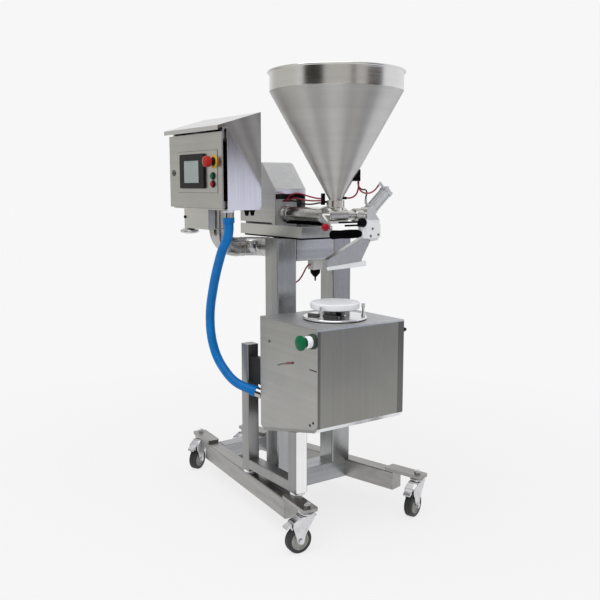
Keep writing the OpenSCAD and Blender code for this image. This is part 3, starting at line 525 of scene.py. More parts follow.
class Shape:
    """A mesh in the making, in layout millimetres."""

    def __init__(self) -> None:
        """Start with an empty mesh."""
        self.mesh = bmesh.new()

    def block(self, low: Point, high: Point, bevel: float = 0.0) -> Shape:
        """Add a box between two corners, with its edges rounded by a width.

        Args:
            low: Lowest corner.
            high: Highest corner.
            bevel: Width of the rounding.

        Returns:
            This shape.
        """
        verts = bmesh.ops.create_cube(self.mesh, size=1.0)["verts"]
        bmesh.ops.scale(self.mesh, vec=Vector(high) - Vector(low), verts=verts)
        bmesh.ops.translate(self.mesh, vec=(Vector(high) + Vector(low)) / 2, verts=verts)
        round_edges(self.mesh, {edge for vert in verts for edge in vert.link_edges}, bevel)
        return self

    def turned(
        self,
        profile: Sequence[Pair],
        centre: Point,
        axis: Axis = Axis.Z,
        steps: int = 64,
        closed: bool = False,
    ) -> Shape:
        """Spin a profile of radius and height about an axis.

        Args:
            profile: Radius and height of each point; both ends lie on the axis unless it is closed.
            centre: Point of the axis at height 0.
            axis: The axis.
            steps: Faces round the turn.
            closed: Whether the profile is a loop.

        Returns:
            This shape.
        """
        verts = [self.mesh.verts.new((radius, 0.0, height)) for radius, height in profile]
        pairs = list(zip(verts, verts[1:]))
        if closed:
            pairs.append((verts[-1], verts[0]))
        edges = [self.mesh.edges.new(pair) for pair in pairs]
        before = set(self.mesh.verts) - set(verts)
        bmesh.ops.spin(
            self.mesh,
            geom=verts + edges,
            cent=(0, 0, 0),
            axis=(0, 0, 1),
            angle=math.tau,
            steps=steps,
            use_merge=True,
        )
        made = [vert for vert in self.mesh.verts if vert not in before]
        bmesh.ops.remove_doubles(self.mesh, verts=made, dist=1e-4)
        made = [vert for vert in self.mesh.verts if vert not in before]
        bmesh.ops.transform(self.mesh, matrix=Matrix.Translation(centre) @ axis.value, verts=made)
        return self

    def facing(self, profile: Sequence[Pair], place: Pair, closed: bool = False) -> Shape:
        """Spin a profile of radius and reach about a level axis that points at the operator.

        Args:
            profile: Radius of each point, and its distance from y = 0 on the operator's side.
            place: X and Z of the axis.
            closed: Whether the profile is a loop.

        Returns:
            This shape.
        """
        mirrored = [(radius, -reach) for radius, reach in profile]
        return self.turned(mirrored, (place[0], 0, place[1]), Axis.Y, closed=closed)

    def rod(self, start: Point, end: Point, diameter: float, sides: int, bevel: float = 0.0) -> Shape:
        """Add a rod between two points.

        Args:
            start: Middle of its first end.
            end: Middle of its other end.
            diameter: Its diameter, or its width over corners.
            sides: Faces round it.
            bevel: Width of the rounding at its ends.

        Returns:
            This shape.
        """
        line = Vector(end) - Vector(start)
        made = bmesh.ops.create_cone(
            self.mesh,
            cap_ends=True,
            segments=sides,
            radius1=diameter / 2,
            radius2=diameter / 2,
            depth=line.length,
        )["verts"]
        turn = line.to_track_quat("Z", "Y").to_matrix().to_4x4()
        middle = Matrix.Translation((Vector(end) + Vector(start)) / 2)
        bmesh.ops.transform(self.mesh, matrix=middle @ turn, verts=made)
        caps = {face for vert in made for face in vert.link_faces if len(face.verts) == sides}
        round_edges(self.mesh, {edge for face in caps for edge in face.edges}, bevel)
        return self

    def extruded(
        self, outline: Sequence[Pair], start: float, end: float, axis: Axis, bevel: float = 0.0
    ) -> Shape:
        """Extrude a flat outline along an axis.

        Args:
            outline: Points in the axis's own plane: YZ for X, ZX for Y and XY for Z.
            start: Where it starts on the axis.
            end: Where it ends on the axis.
            axis: The axis.
            bevel: Width of the rounding of its edges.

        Returns:
            This shape.
        """
        verts = [self.mesh.verts.new((u, v, start)) for u, v in outline]
        face = self.mesh.faces.new(verts)
        grown = bmesh.ops.extrude_face_region(self.mesh, geom=[face], use_keep_orig=True)["geom"]
        lifted = [item for item in grown if isinstance(item, bmesh.types.BMVert)]
        bmesh.ops.translate(self.mesh, vec=(0, 0, end - start), verts=lifted)
        bmesh.ops.transform(self.mesh, matrix=axis.value, verts=verts + lifted)
        round_edges(self.mesh, {edge for vert in verts + lifted for edge in vert.link_edges}, bevel)
        return self

    def piece(self, name: str, body: str, finish: Finish, sharp: float = 35.0) -> bpy.types.Object:
        """Finish the shape as a piece of the machine.

        Args:
            name: The piece's name.
            body: Name of the CAD body that it rides on.
            finish: Its finish.
            sharp: Angle in degrees above which an edge stays sharp.

        Returns:
            The piece.
        """
        bmesh.ops.recalc_face_normals(self.mesh, faces=self.mesh.faces)
        bmesh.ops.translate(self.mesh, vec=-MIDDLE, verts=self.mesh.verts)
        bmesh.ops.scale(self.mesh, vec=(MM, MM, MM), verts=self.mesh.verts)
        return fit_out(finish_mesh(self.mesh, name, sharp), body, finish)


class Machine:
    """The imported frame, and how its nodes are dressed.

    Attributes:
        hard: Angle in degrees above which an edge of a node counts as hard.
        flat: Angle in degrees below which two faces of a node count as one.
        weld: Distance in metres below which two points of a node count as one.
    """

    hard = 32.0
    flat = 0.6
    weld = 2e-6

    def __init__(self, frame: dict) -> None:
        """Keep the frame.
        """
        self.nodes = frame["nodes"]
        bodies = frame["record"]["behaviour"]["bodies"]
        self.body_of = {node: body for body, members in bodies.items() for node in members}

    def refined(self, node: str, finish: Finish, bevel: float) -> None:
        """Stand in for a node with a merged copy of its mesh whose hard edges are rounded.

        Args:
            node: Name of the CAD node.
            finish: Its finish.
            bevel: Width of the rounding in millimetres.
        """
        shape = bmesh.new()
        shape.from_mesh(self.nodes[node].data)
        bmesh.ops.remove_doubles(shape, verts=shape.verts, dist=self.weld)
        bmesh.ops.dissolve_limit(
            shape, angle_limit=math.radians(self.flat), verts=shape.verts, edges=shape.edges
        )
        limit = math.radians(self.hard)
        inner = (edge for edge in shape.edges if len(edge.link_faces) == 2)
        round_edges(shape, [edge for edge in inner if edge.calc_face_angle() > limit], bevel * MM)
        piece = finish_mesh(shape, f"{node}_dressed", self.hard)
        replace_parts(piece, node)
        fit_out(piece, self.body_of[node], finish)

    def dress(self, finishes: dict[str, Finish], bevel: float) -> None:
        """Refine several nodes.

        Args:
            finishes: Finish of each node by name.
            bevel: Width of the rounding in millimetres.
        """
        for node, finish in finishes.items():
            self.refined(node, finish, bevel)


@dataclass
class Caster:
    """One swivel caster with its tyre, core and brake pedal.

    Attributes:
        letter: Its letter in the CAD names.
        swivel: Place of its swivel axis on the floor.
        yaw: Direction in degrees in which the wheel trails.
        trail: Distance from the swivel axis to the axle.
        radius: Radius of the wheel.
        half: Half the tyre's width.
        core: Radius of the core under the tyre.
        hub: Radius of the hub.
        bore: Radius of the hub's bore.
        shoulder: Radius of the tyre's shoulders.
        groove: Depth of the grooves round the tread.
    """

    letter: str
    swivel: Pair
    yaw: float
    trail: float = 38.0
    radius: float = 48.0
    half: float = 16.0
    core: float = 34.0
    hub: float = 14.0
    bore: float = 6.05
    shoulder: float = 6.0
    groove: float = 1.2

    def axle(self) -> Matrix:
        """Return the transform that carries a wheel turned about +Z to its axle."""
        turn = Matrix.Rotation(math.radians(self.yaw), 4, "Z")
        place = Matrix.Translation((*self.swivel, 0.0)) @ turn
        level = Matrix.Rotation(math.pi / 2, 4, "X")
        return place @ Matrix.Translation((self.trail, 0, self.radius)) @ level

    def wheel_part(self, name: str, profile: Sequence[Pair], finish: Finish) -> bpy.types.Object:
        """Spin one part of the wheel.

        Args:
            name: First words of its name.
            profile: Closed profile of radius and height.
            finish: Its finish.

        Returns:
            The piece.
        """
        shape = Shape().turned(profile, (0, 0, 0), steps=72, closed=True)
        bmesh.ops.transform(shape.mesh, matrix=self.axle(), verts=shape.mesh.verts)
        return shape.piece(f"{name}_{self.letter}", f"wheel_{self.letter}", finish)

    def tyre_profile(self) -> list[Pair]:
        """Return the tyre's closed profile, with two shallow grooves round its tread."""
        tread, bottom, round_off = self.radius, self.radius - self.groove, self.shoulder
        crown = [
            (tread - round_off + round_off * math.cos(a), self.half - round_off + round_off * math.sin(a))
            for a in (math.radians(step) for step in (0, 20, 45, 70, 90))
        ]
        groove = [(tread, 4.0), (bottom, 4.8), (bottom, 5.8), (tread, 6.5)]
        seat = [(self.core + 1, self.half), (self.core, self.half - 1)]
        upper = [(tread, 0.0), *groove, *crown, *seat]
        lower = [(r, -h) for r, h in reversed(upper[1:])]
        return lower + upper

    def core_profile(self) -> list[Pair]:
        """Return the core's closed profile: hub, web and the seat of the tyre."""
        face = self.half
        upper = [
            (self.core, face - 1.2), (self.core - 2, face - 1.2), (self.core - 4, 8.5), (self.hub + 5, 8.0),
            (self.hub + 1.5, face - 1), (self.hub - 1, face + 2), (self.bore, face + 2),
        ]
        return upper + [(r, -h) for r, h in reversed(upper)]

    def build(self, machine: Machine) -> None:
        """Dress the fork and the pedal, and stand a tyre on a core in for the wheel."""
        wheel = f"caster_wheel_{self.letter}"
        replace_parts(self.wheel_part("tyre", self.tyre_profile(), Finishes.TYRE), wheel)
        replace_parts(self.wheel_part("wheel_core", self.core_profile(), Finishes.HUB), wheel)
        machine.refined(f"caster_fork_{self.letter}", Finishes.CAST, 0.7)
        machine.refined(f"brake_pedal_{self.letter}", Finishes.CAST, 0.8)


@dataclass
class Undercarriage:
    """Rails, cross beams, caster plates, columns and casters.

    Attributes:
        tube_edge: Rounding of the square tubes' ends.
        casters: The casters.
    """

    tube_edge: float = 1.0
    casters: tuple[Caster, ...] = (
        Caster("a", (491, -200), -95),
        Caster("b", (-494, -103), -60),
        Caster("c", (475, 348), -70),
        Caster("d", (-455, 120), -80),
    )

    def build(self, machine: Machine) -> None:
        """Dress the frame and build the casters."""
        machine.dress(
            {
                "base_rails": Finishes.RAIL,
                "caster_plates": Finishes.RAIL,
                "cross_beams": Finishes.CROSS,
                "columns": Finishes.COLUMN,
                "top_beam": Finishes.BEAM,
            },
            self.tube_edge,
        )
        for caster in self.casters:
            caster.build(machine)


@dataclass
class TurntableUnit:
    """The box with its stand, the turntable, the cake plate and the palm button.

    Attributes:
        axis: Place of the turntable's axis.
        plate: Lowest and highest point of the cake plate.
        plate_radius: Radius of the cake plate.
        disc: Top of the turntable's disc.
        bar: The clamp bar's two ends.
        bar_run: Direction of the clamp bar.
        bar_half: Half the clamp bar's width.
        front: Y of the box's front.
        back: Y of the box's back.
        left: X where the box's cover sheet starts.
        side: X of the box's right side.
        top: Z of the box's top.
        fold: Z of the lower edge of the box's right side.
        dark_strips: Width of the darker strips along the side's front and back.
        lip: Height of the lip along the side's top, a bright strip whose colour paints its highlight.
        opening: Half the cover's opening round the turntable's shaft.
        screw: X and Z of the screw on the front.
        drains: X and Z of the drain holes in the front.
        palm: X and Z of the palm button.
        leg: X of the leg's right side.
        leg_face: Lower and upper end of the leg's polished face.
        depth: Front and back of the leg and the post.
        pads: Name, X and lowest point of each foot pad.
    """

    axis: Pair = (360.0, 18.0)
    plate: Pair = (841.0, 865.0)
    plate_radius: float = 92.5
    disc: float = 812.0
    bar: tuple[Pair, Pair] = ((298.0, -60.0), (418.0, -7.0))
    bar_run: Pair = (0.915, 0.405)
    bar_half: float = 6.0
    front: float = -180.0
    back: float = 216.0
    left: float = 151.0
    side: float = 523.0
    top: float = 801.0
    fold: float = 449.0
    dark_strips: Pair = (12.0, 27.0)
    lip: float = 6.0
    opening: float = 17.0
    screw: Pair = (214.0, 714.0)
    drains: tuple[Pair, ...] = ((478.0, 453.0), (497.0, 466.0))
    palm: Pair = (492.0, 757.0)
    leg: float = 397.0
    leg_face: Pair = (171.0, 405.5)
    depth: Pair = (-185.0, -135.0)
    pads: tuple[tuple[str, float, float], ...] = (("post_pad", 40.0, 150.0), ("leg_pad", 372.0, 162.0))

    def cake_plate(self) -> None:
        """Turn the cake plate with its straight wall and raised rim."""
        low, high = self.plate
        rim = self.plate_radius
        profile = [
            (0, low), (rim - 5, low), (rim - 2, low + 1.2), (rim - 0.8, low + 4), (rim, high - 5),
            (rim - 0.8, high - 2.4), (rim - 3, high - 0.6), (rim - 5.5, high), (rim - 8.5, high - 0.4),
            (rim - 12, high - 2), (0, high - 2),
        ]
        turned = Shape().turned(profile, (*self.axis, 0), steps=128)
        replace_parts(turned.piece("cake_plate_turned", "turntable", Finishes.WHITE), "cake_plate")

    def clamp(self) -> None:
        """Put the hub's sleeve and the clamp bar with its knob on the disc."""
        z = self.disc
        sleeve = [(34.4, z + 6.2), (42, z + 6.2), (42, z + 24), (40, z + 26), (31, z + 26)]
        hub = Shape().turned(sleeve, (*self.axis, 0), closed=True)
        hub.piece("hub_sleeve", "turntable", Finishes.DARK)
        start, end = (Vector(place) for place in self.bar)
        across = Vector((-self.bar_run[1], self.bar_run[0])) * self.bar_half
        corners = (start - across, end - across, end + across, start + across)
        bar = Shape().extruded([tuple(corner) for corner in corners], z, z + 9, Axis.Z, 1.5)
        bar.piece("clamp_bar", "turntable", Finishes.DARK)
        knob = [
            (0, z + 8), (7, z + 8), (9.5, z + 10), (10, z + 17), (8.5, z + 20), (5, z + 21.5), (0, z + 22),
        ]
        Shape().turned(knob, (*end, 0), steps=40).piece("clamp_knob", "turntable", Finishes.BLACK)

    def side_panel(self) -> None:
        """Lay the side panel on the box, with darker strips along its front and back and a lip along its top
        whose bright colour is a painted highlight.
        """
        x, low, high = self.side, self.fold, self.top - self.lip
        near, far = self.front + self.dark_strips[0], self.back - self.dark_strips[1]
        panel = Shape().block((x, near, low), (x + 0.4, far, high), 0.1)
        panel.piece("box_panel", "frame", Finishes.PANEL)
        # Darker strips along the side's front and back, flat in the panel's plane.
        dark_strips = Shape().block((x, far, low), (x + 0.8, self.back, high), 0.2)
        dark_strips.block((x, self.front, low), (x + 0.8, near, high), 0.2)
        dark_strips.piece("box_dark_strips", "frame", Finishes.EDGE)
        # Painted highlight: the lip along the top is coloured bright for the highlight on the edge.
        lip = Shape().block((x - 0.4, self.front - 0.6, high), (x + 1.0, self.back, self.top + 0.6), 0.3)
        lip.piece("box_lip_highlight", "frame", Finishes.PAINTED_HIGHLIGHT)

    def cover(self) -> None:
        """Lay the cover sheet on the box's top, in four parts round the turntable's shaft."""
        left, right, near, far = self.left, self.side - 1, self.front + 1, self.back - 1
        x0, x1 = self.axis[0] - self.opening, self.axis[0] + self.opening
        y0, y1 = self.axis[1] - self.opening, self.axis[1] + self.opening
        sheet = Shape()
        for low, high in (
            ((left, near), (right, y0)), ((left, y1), (right, far)),
            ((left, y0), (x0, y1)), ((x1, y0), (right, y1)),
        ):
            sheet.block((*low, self.top), (*high, self.top + 0.3))
        sheet.piece("box_cover", "frame", Finishes.TOP)

    def pan_trim(self) -> None:
        """Edge the sloping floor at the side with a pale strip whose colour paints its reflection of the
        floor, and hang its skirt on the front.
        """
        x, y, z = self.side, self.front, self.fold
        # Painted reflection: a pale strip on the chamfer stands in for its reflection of the floor.
        edge = [(z, x), (z - 0.6, x + 0.6), (z - 18.6, x - 17.4), (z - 18, x - 18)]
        Shape().extruded(edge, y, self.back, Axis.Y).piece("pan_edge_painted_reflection", "frame", Finishes.PAINTED_HIGHLIGHT)
        skirt = [(357, 170), (431, 505), (448, 522), (458, 522), (441, 502), (370, 171)]
        Shape().extruded(skirt, y - 0.6, y, Axis.Y).piece("pan_skirt", "frame", Finishes.PANEL)

    def fasteners(self) -> None:
        """Put the screw, the cover's lever and seam, and the drain holes on the box's front."""
        y = self.front
        x, z = self.screw
        head = Shape().rod((x, y + 0.5, z), (x, y - 2.5, z), 11, 24, 0.8)
        head.piece("box_screw", "frame", Finishes.EDGE)
        blade = [(631, 276), (635, 274), (645, 300), (654, 338), (650, 340), (640, 302)]
        Shape().extruded(blade, y - 4.5, y, Axis.Y, 0.6).piece("cover_lever", "frame", Finishes.EDGE)
        tip = [(648, 336), (655, 335), (663, 370), (660, 373), (655, 370)]
        Shape().extruded(tip, y - 5.5, y, Axis.Y, 0.6).piece("lever_tip", "frame", Finishes.TIP)
        slots = Shape().block((474, y - 0.5, 652.5), (518, y, 656), 0.2)
        for x, z in self.drains:
            slots.rod((x, y + 0.5, z), (x, y - 0.5, z), 10, 24, 0.2)
        slots.piece("box_slots", "frame", Finishes.BLACK)

    def palm_switch(self) -> None:
        """Turn the palm button's cap, the ribbed sleeve behind it and its flange on the box."""
        cap = [
            (0, 170), (12, 170), (12, 224), (23, 224), (25.6, 225.5), (26.6, 228), (26.6, 234), (25.6, 236.6),
            (22, 238.8), (12, 241), (0, 241.8),
        ]
        ribs = [
            (18.1, 190.4), (21, 190.4), (21.6, 193), (21, 196), (19.2, 197.5), (19.2, 199), (21, 200.5),
            (21.6, 203.5), (21, 206.5), (19.6, 208), (19, 211), (18.1, 211),
        ]
        flange = [(18.1, 180), (27, 180), (27, 186), (25, 189.6), (23.5, 190.3), (18.1, 190.3)]
        button = Shape().facing(cap, self.palm).piece("palm_cap", "palm", Finishes.GREEN)
        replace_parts(button, "palm_button")
        Shape().facing(ribs, self.palm, True).piece("palm_sleeve", "frame", Finishes.WHITE)
        Shape().facing(flange, self.palm, True).piece("palm_flange", "frame", Finishes.FLANGE)

    def feet(self) -> None:
        """Put the pads under the post and the leg, and the polished face on the leg."""
        front, back = self.depth
        for name, x, low in self.pads:
            pad = [(0, low), (27, low), (28.5, low + 1.5), (28.5, low + 5), (26, low + 8), (0, low + 8)]
            turned = Shape().turned(pad, (x, (front + back) / 2, 0), steps=48)
            turned.piece(name, "frame", Finishes.WHITE)
        low, high = self.leg_face
        face = Shape().block((self.leg, front + 2, low), (self.leg + 0.5, back - 2, high), 0.1)
        face.piece("leg_face", "frame", Finishes.LEG)

    def build(self, machine: Machine) -> None:
        """Dress the nodes and add the small pieces."""
        machine.dress(
            {
                "turntable_box": Finishes.SHEET,
                "stand_frame": Finishes.STAND,
                "turntable_disc": Finishes.DISC,
                "gearmotor": Finishes.MOTOR,
            },
            1.2,
        )
        machine.refined("stand_block", Finishes.SPACER, 1.5)
        self.cake_plate()
        self.clamp()
        self.side_panel()
        self.cover()
        self.pan_trim()
        self.fasteners()
        self.palm_switch()
        self.feet()


@dataclass
class Filler:
    """Tray, guard, cylinders, valve and air filter.

    Attributes:
        axis: Y and Z of the product cylinder's axis.
        guard: X of the guard's right side.
        tray: Front and back of the tray.
        filter_axis: Place of the filter bowl's axis.
        filter_head: Lowest and highest corner of the filter's head.
    """

    axis: Pair = (18.0, 1183.0)
    guard: float = 67.0
    tray: Pair = (-55.0, 90.0)
    filter_axis: Pair = (105.0, 112.0)
    filter_head: tuple[Point, Point] = ((85.0, 88.0, 958.0), (125.0, 136.0, 1000.0))

    def air_filter(self) -> None:
        """Build the filter's head and its bowl."""
        head = Shape().block(*self.filter_head, 3.0)
        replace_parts(head.piece("filter_head", "frame", Finishes.HEAD), "air_filter")
        bowl = [
            (0, 912), (3, 912), (3.5, 926), (8, 930), (13, 936), (18, 942), (20, 947), (20, 958.5),
            (0, 958.5),
        ]
        turned = Shape().turned(bowl, (*self.filter_axis, 0), steps=48)
        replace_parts(turned.piece("filter_bowl", "frame", Finishes.BLACK), "air_filter")

    def trims(self) -> None:
        """Add a black strip of painted shadow under the product cylinder, the cylinder's union ring, and a
        bright strip along the guard's edge in the painted-highlight finish.
        """
        y, z = self.axis
        # Painted shadow: a black block fills the shadow gap under the product cylinder.
        strip = Shape().block((45.5, y - 6, z - 40), (292.5, y + 6, z - 27), 0.8)
        strip.piece("painted_shadow_strip", "frame", Finishes.RUBBER)
        ring = [(28.1, 62), (31, 62), (32, 63.5), (32, 71), (31, 72.5), (28.1, 72.5)]
        Shape().turned(ring, (0, y, z), Axis.X, closed=True).piece("union_ring", "frame", Finishes.CAST)
        front, back = self.tray
        # A bright strip along the guard's edge, in the finish whose colour paints highlights.
        edge = Shape().block((self.guard, front, 1260), (self.guard + 0.7, back, 1278), 0.2)
        edge.piece("guard_bright_edge", "frame", Finishes.PAINTED_HIGHLIGHT)

    def build(self, machine: Machine) -> None:
        """Dress the nodes and add the small pieces."""
        machine.dress({"tray": Finishes.TRAY, "guard": Finishes.GUARD}, 0.7)
        machine.dress(
            {
                "air_cylinder": Finishes.ALLOY,
                "product_cylinder": Finishes.BRIGHT,
                "valve_housing": Finishes.BRIGHT,
                "valve_plug": Finishes.BRIGHT,
                "pipe_clamps": Finishes.BRIGHT,
                "piston": Finishes.WHITE,
                "valve_knob": Finishes.RED,
                "air_blocks": Finishes.BLACK,
                "tray_pad": Finishes.RUBBER,
            },
            0.7,
        )
        self.air_filter()
        self.trims()


@dataclass
class Hopper:
    """The spun cone with its straight band and rolled rim.

    Attributes:
        axis: Place of its axis.
        joint: Height of its lower flange.
        cone: Height where the neck widens to the cone.
        band: Height where the cone meets the band.
        rim: Height of the rim.
        radius: Radius of the band.
        neck: Radius of the neck.
        bore: Radius of the neck's bore.
        flange: Radius of the lower flange.
        sheet: Thickness of the sheet.
        roll: Radius of the rolled rim.
    """

    axis: Pair = (360.0, 18.0)
    joint: float = 1226.0
    cone: float = 1241.0
    band: float = 1624.0
    rim: float = 1694.0
    radius: float = 240.0
    neck: float = 24.0
    bore: float = 19.0
    flange: float = 29.0
    sheet: float = 2.0
    roll: float = 4.0

    def band_profile(self) -> list[Pair]:
        """Return the closed profile of the straight band with its rolled rim."""
        middle = (self.radius + self.roll, self.rim - self.roll)
        curl = [
            (middle[0] + self.roll * math.cos(a), middle[1] + self.roll * math.sin(a))
            for a in (math.radians(step) for step in range(-120, 121, 24))
        ]
        inner = self.radius - self.sheet
        return [
            (inner, self.band), (self.radius + 0.5, self.band), (self.radius, self.band + 3),
            (self.radius, self.rim - 12), *curl, (inner, self.rim - 2),
        ]

    def cone_profile(self) -> list[Pair]:
        """Return the closed profile of the cone with its neck and lower flange."""
        return [
            (self.bore, self.joint), (self.flange, self.joint), (self.flange, self.joint + 4),
            (self.neck, self.joint + 4), (self.neck, self.cone - 2), (self.neck + 1.6, self.cone + 3),
            (self.radius - 1.6, self.band - 3), (self.radius, self.band),
            (self.radius - self.sheet, self.band), (self.bore, self.cone + 2),
        ]

    def build(self) -> None:
        """Spin the band and the cone."""
        for name, profile, finish in (
            ("hopper_band", self.band_profile(), Finishes.SPUN),
            ("hopper_cone", self.cone_profile(), Finishes.CONE),
        ):
            shape = Shape().turned(profile, (*self.axis, 0), steps=180, closed=True)
            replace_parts(shape.piece(name, "frame", finish, 30.0), "hopper")


@dataclass
class Outlet:
    """Nozzle block, cut-off cylinder, spreading nozzle, grip and trigger.

    Attributes:
        bracket: X of the nozzle bracket's right side.
        bolts: Y and Z of its bolts.
    """

    bracket: float = 401.0
    bolts: tuple[Pair, ...] = ((161.0, 1133.0), (189.0, 1110.0), (152.0, 1106.0))

    def build(self, machine: Machine) -> None:
        """Dress the nodes and put the bolts on the bracket."""
        for number, (y, z) in enumerate(self.bolts, 1):
            head = Shape().rod((self.bracket - 0.5, y, z), (self.bracket + 3.0, y, z), 8, 24, 0.8)
            head.rod((self.bracket + 2.5, y, z), (self.bracket + 3.2, y, z), 4.2, 6)
            head.piece(f"bracket_bolt_{number}", "frame", Finishes.DARK)
        machine.dress(
            {
                "nozzle_body": Finishes.BRIGHT,
                "nozzle_block": Finishes.WHITE,
                "spreader_nozzle": Finishes.GUARD,
                "spreader_lip": Finishes.WHITE,
                "cutoff_cylinder": Finishes.ALLOY,
                "cutoff_rod": Finishes.BRIGHT,
                "grip": Finishes.RUBBER,
                "trigger_lever": Finishes.BLACK,
            },
            0.8,
        )


@dataclass
class Cabinet:
    """The operator's cabinet on its arm, with the door's controls.

    Attributes:
        door: Y of the door's front.
        screen_x: Left and right edge of the display.
        screen_z: Lower and upper edge of the display.
        plate: Lower left and upper right corner of the raised control plate.
        estop: X and Z of the emergency stop.
        buttons: X and Z of the start and stop buttons.
        hose: Place of the blue hose's upper end.
        cuff: Both ends of the blue hose's lower cuff.
        arm: Place of the arm pipe's upright run.
        level: Height of the arm pipe's level run.
        bend: Radius of the arm pipe's bends.
        run: Length of the level run between two bends.
        pipe: Radius of the arm pipe.
    """

    door: float = -330.0
    screen_x: Pair = (-146.0, -26.0)
    screen_z: Pair = (1302.0, 1386.0)
    plate: tuple[Pair, Pair] = ((-214.0, 1266.0), (106.0, 1421.0))
    estop: Pair = (84.0, 1379.0)
    buttons: tuple[Pair, Pair] = ((74.0, 1327.0), (74.0, 1298.0))
    hose: Pair = (97.0, -281.0)
    cuff: tuple[Point, Point] = ((97.8, -190.5, 503.7), (119.4, -177.5, 497.2))
    arm: Pair = (-68.0, -232.0)
    level: float = 1050.0
    bend: float = 76.0
    run: float = 25.0
    pipe: float = 38.0

    def collar(
        self, name: str, place: Pair, outer: float, inner: float, height: float, finish: Finish
    ) -> None:
        """Turn the collar round one of the door's controls.

        Args:
            name: The piece's name.
            place: X and Z of its axis.
            outer: Its radius.
            inner: Radius of its bore.
            height: How far it stands off the door's plate.
            finish: Its finish.
        """
        back = -self.door + 1.5
        profile = [
            (inner, back), (outer, back), (outer, back + height - 1.5), (outer - 1.5, back + height),
            (inner, back + height),
        ]
        turned = Shape().facing(profile, place, True)
        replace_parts(turned.piece(name, "door", finish), "button_collars")

    def display(self) -> None:
        """Set the bare display panel in the screen's bezel."""
        low, high = zip(self.screen_x, self.screen_z)
        gap = 0.3
        panel = Shape().block(
            (low[0] + gap, self.door - 9.2, low[1] + gap),
            (high[0] - gap, self.door - 8.0, high[1] - gap),
            0.3,
        )
        panel.piece("display_panel", "door", Finishes.DISPLAY)

    def painted_shadow_line(self) -> None:
        """Lay a dark line of painted shadow round the raised control plate."""
        (x0, z0), (x1, z1) = self.plate
        wide = 1.5
        # Painted shadow: flat dark strips stand in for the shade along the raised plate's edges.
        line = Shape()
        for low, high in (
            ((x0 - wide, z1), (x1 + wide, z1 + wide)),
            ((x0 - wide, z0 - wide), (x1 + wide, z0)),
            ((x0 - wide, z0), (x0, z1)),
            ((x1, z0), (x1 + wide, z1)),
        ):
            line.block((low[0], self.door - 0.8, low[1]), (high[0], self.door, high[1]))
        line.piece("plate_painted_shadow", "door", Finishes.EDGE)

    def stop_head(self, body: str) -> None:
        """Turn the emergency stop's red cap and its dark stem.

        Args:
            body: Name of the CAD body that they ride on.
        """
        stem = [(0, 322), (11, 322), (11, 342), (14, 346), (15.3, 348.4), (0, 348.4)]
        cap = [
            (0, 348.5), (15.3, 348.5), (17, 350.2), (18.8, 351.2), (19.7, 352.6), (20, 354), (20, 369),
            (19.4, 371), (18, 372.5), (14, 374), (10, 375), (5, 376.4), (0, 377),
        ]
        for name, finish, profile in (
            ("estop_stem", Finishes.STEM, stem), ("estop_cap", Finishes.ESTOP, cap),
        ):
            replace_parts(Shape().facing(profile, self.estop).piece(name, body, finish), "estop_head")

    def welds(self) -> None:
        """Lay the weld beads round the arm pipe at the ends of its bends."""
        x, y = self.arm
        front, rear = y + self.bend, y + self.bend + self.run
        foot, crown, shoulder = self.pipe - 0.2, self.pipe + 0.9, self.pipe + 0.7
        bead = [(foot, -2.2), (shoulder, -1.2), (crown, 0), (shoulder, 1.2), (foot, 2.2)]
        for name, place, axis in (
            ("weld_upper", (x, y, self.level + self.bend), Axis.Z),
            ("weld_front", (x, front, self.level), Axis.Y),
            ("weld_rear", (x, rear, self.level), Axis.Y),
            ("weld_column", (x + self.bend, rear + self.bend, self.level), Axis.X),
        ):
            Shape().turned(bead, place, axis, closed=True).piece(name, "frame", Finishes.WELD)

    def cuffs(self) -> None:
        """Draw the blue cuffs of the hose over its two end fittings."""
        ring = [(20.05, 1154), (21.2, 1154), (21.6, 1155), (21.6, 1173), (21.2, 1174), (20.05, 1174)]
        upper = Shape().turned(ring, (*self.hose, 0), closed=True)
        upper.piece("hose_cuff_upper", "frame", Finishes.HOSE)
        Shape().rod(*self.cuff, 43.0, 48, 0.8).piece("hose_cuff_lower", "frame", Finishes.HOSE)

    def build(self, machine: Machine) -> None:
        """Dress the nodes, and build the display, the collars, the painted shadow line round the plate, the
        welds and the cuffs.
        """
        machine.dress({"arm_pipe": Finishes.POLISHED, "hose_fittings": Finishes.POLISHED}, 0.8)
        machine.dress(
            {
                "cabinet_body": Finishes.SIDE,
                "cabinet_door": Finishes.DOOR,
                "junction_box": Finishes.TRAY,
                "door_gasket": Finishes.RUBBER,
                "touch_screen": Finishes.BEZEL,
                "door_lock": Finishes.DARK,
                "cable_glands": Finishes.BLACK,
            },
            0.9,
        )
        machine.dress({"start_button": Finishes.GREEN, "stop_button": Finishes.RED}, 0.4)
        self.display()
        self.collar("estop_collar", self.estop, 25.0, 17.1, 4.0, Finishes.YELLOW)
        self.collar("estop_ring", self.estop, 17.0, 11.05, 4.8, Finishes.COLLAR)
        for name, place in zip(("start_collar", "stop_collar"), self.buttons):
            self.collar(name, place, 14.0, 9.05, 4.0, Finishes.COLLAR)
        self.stop_head(machine.body_of["estop_head"])
        self.painted_shadow_line()
        self.welds()
        self.cuffs()


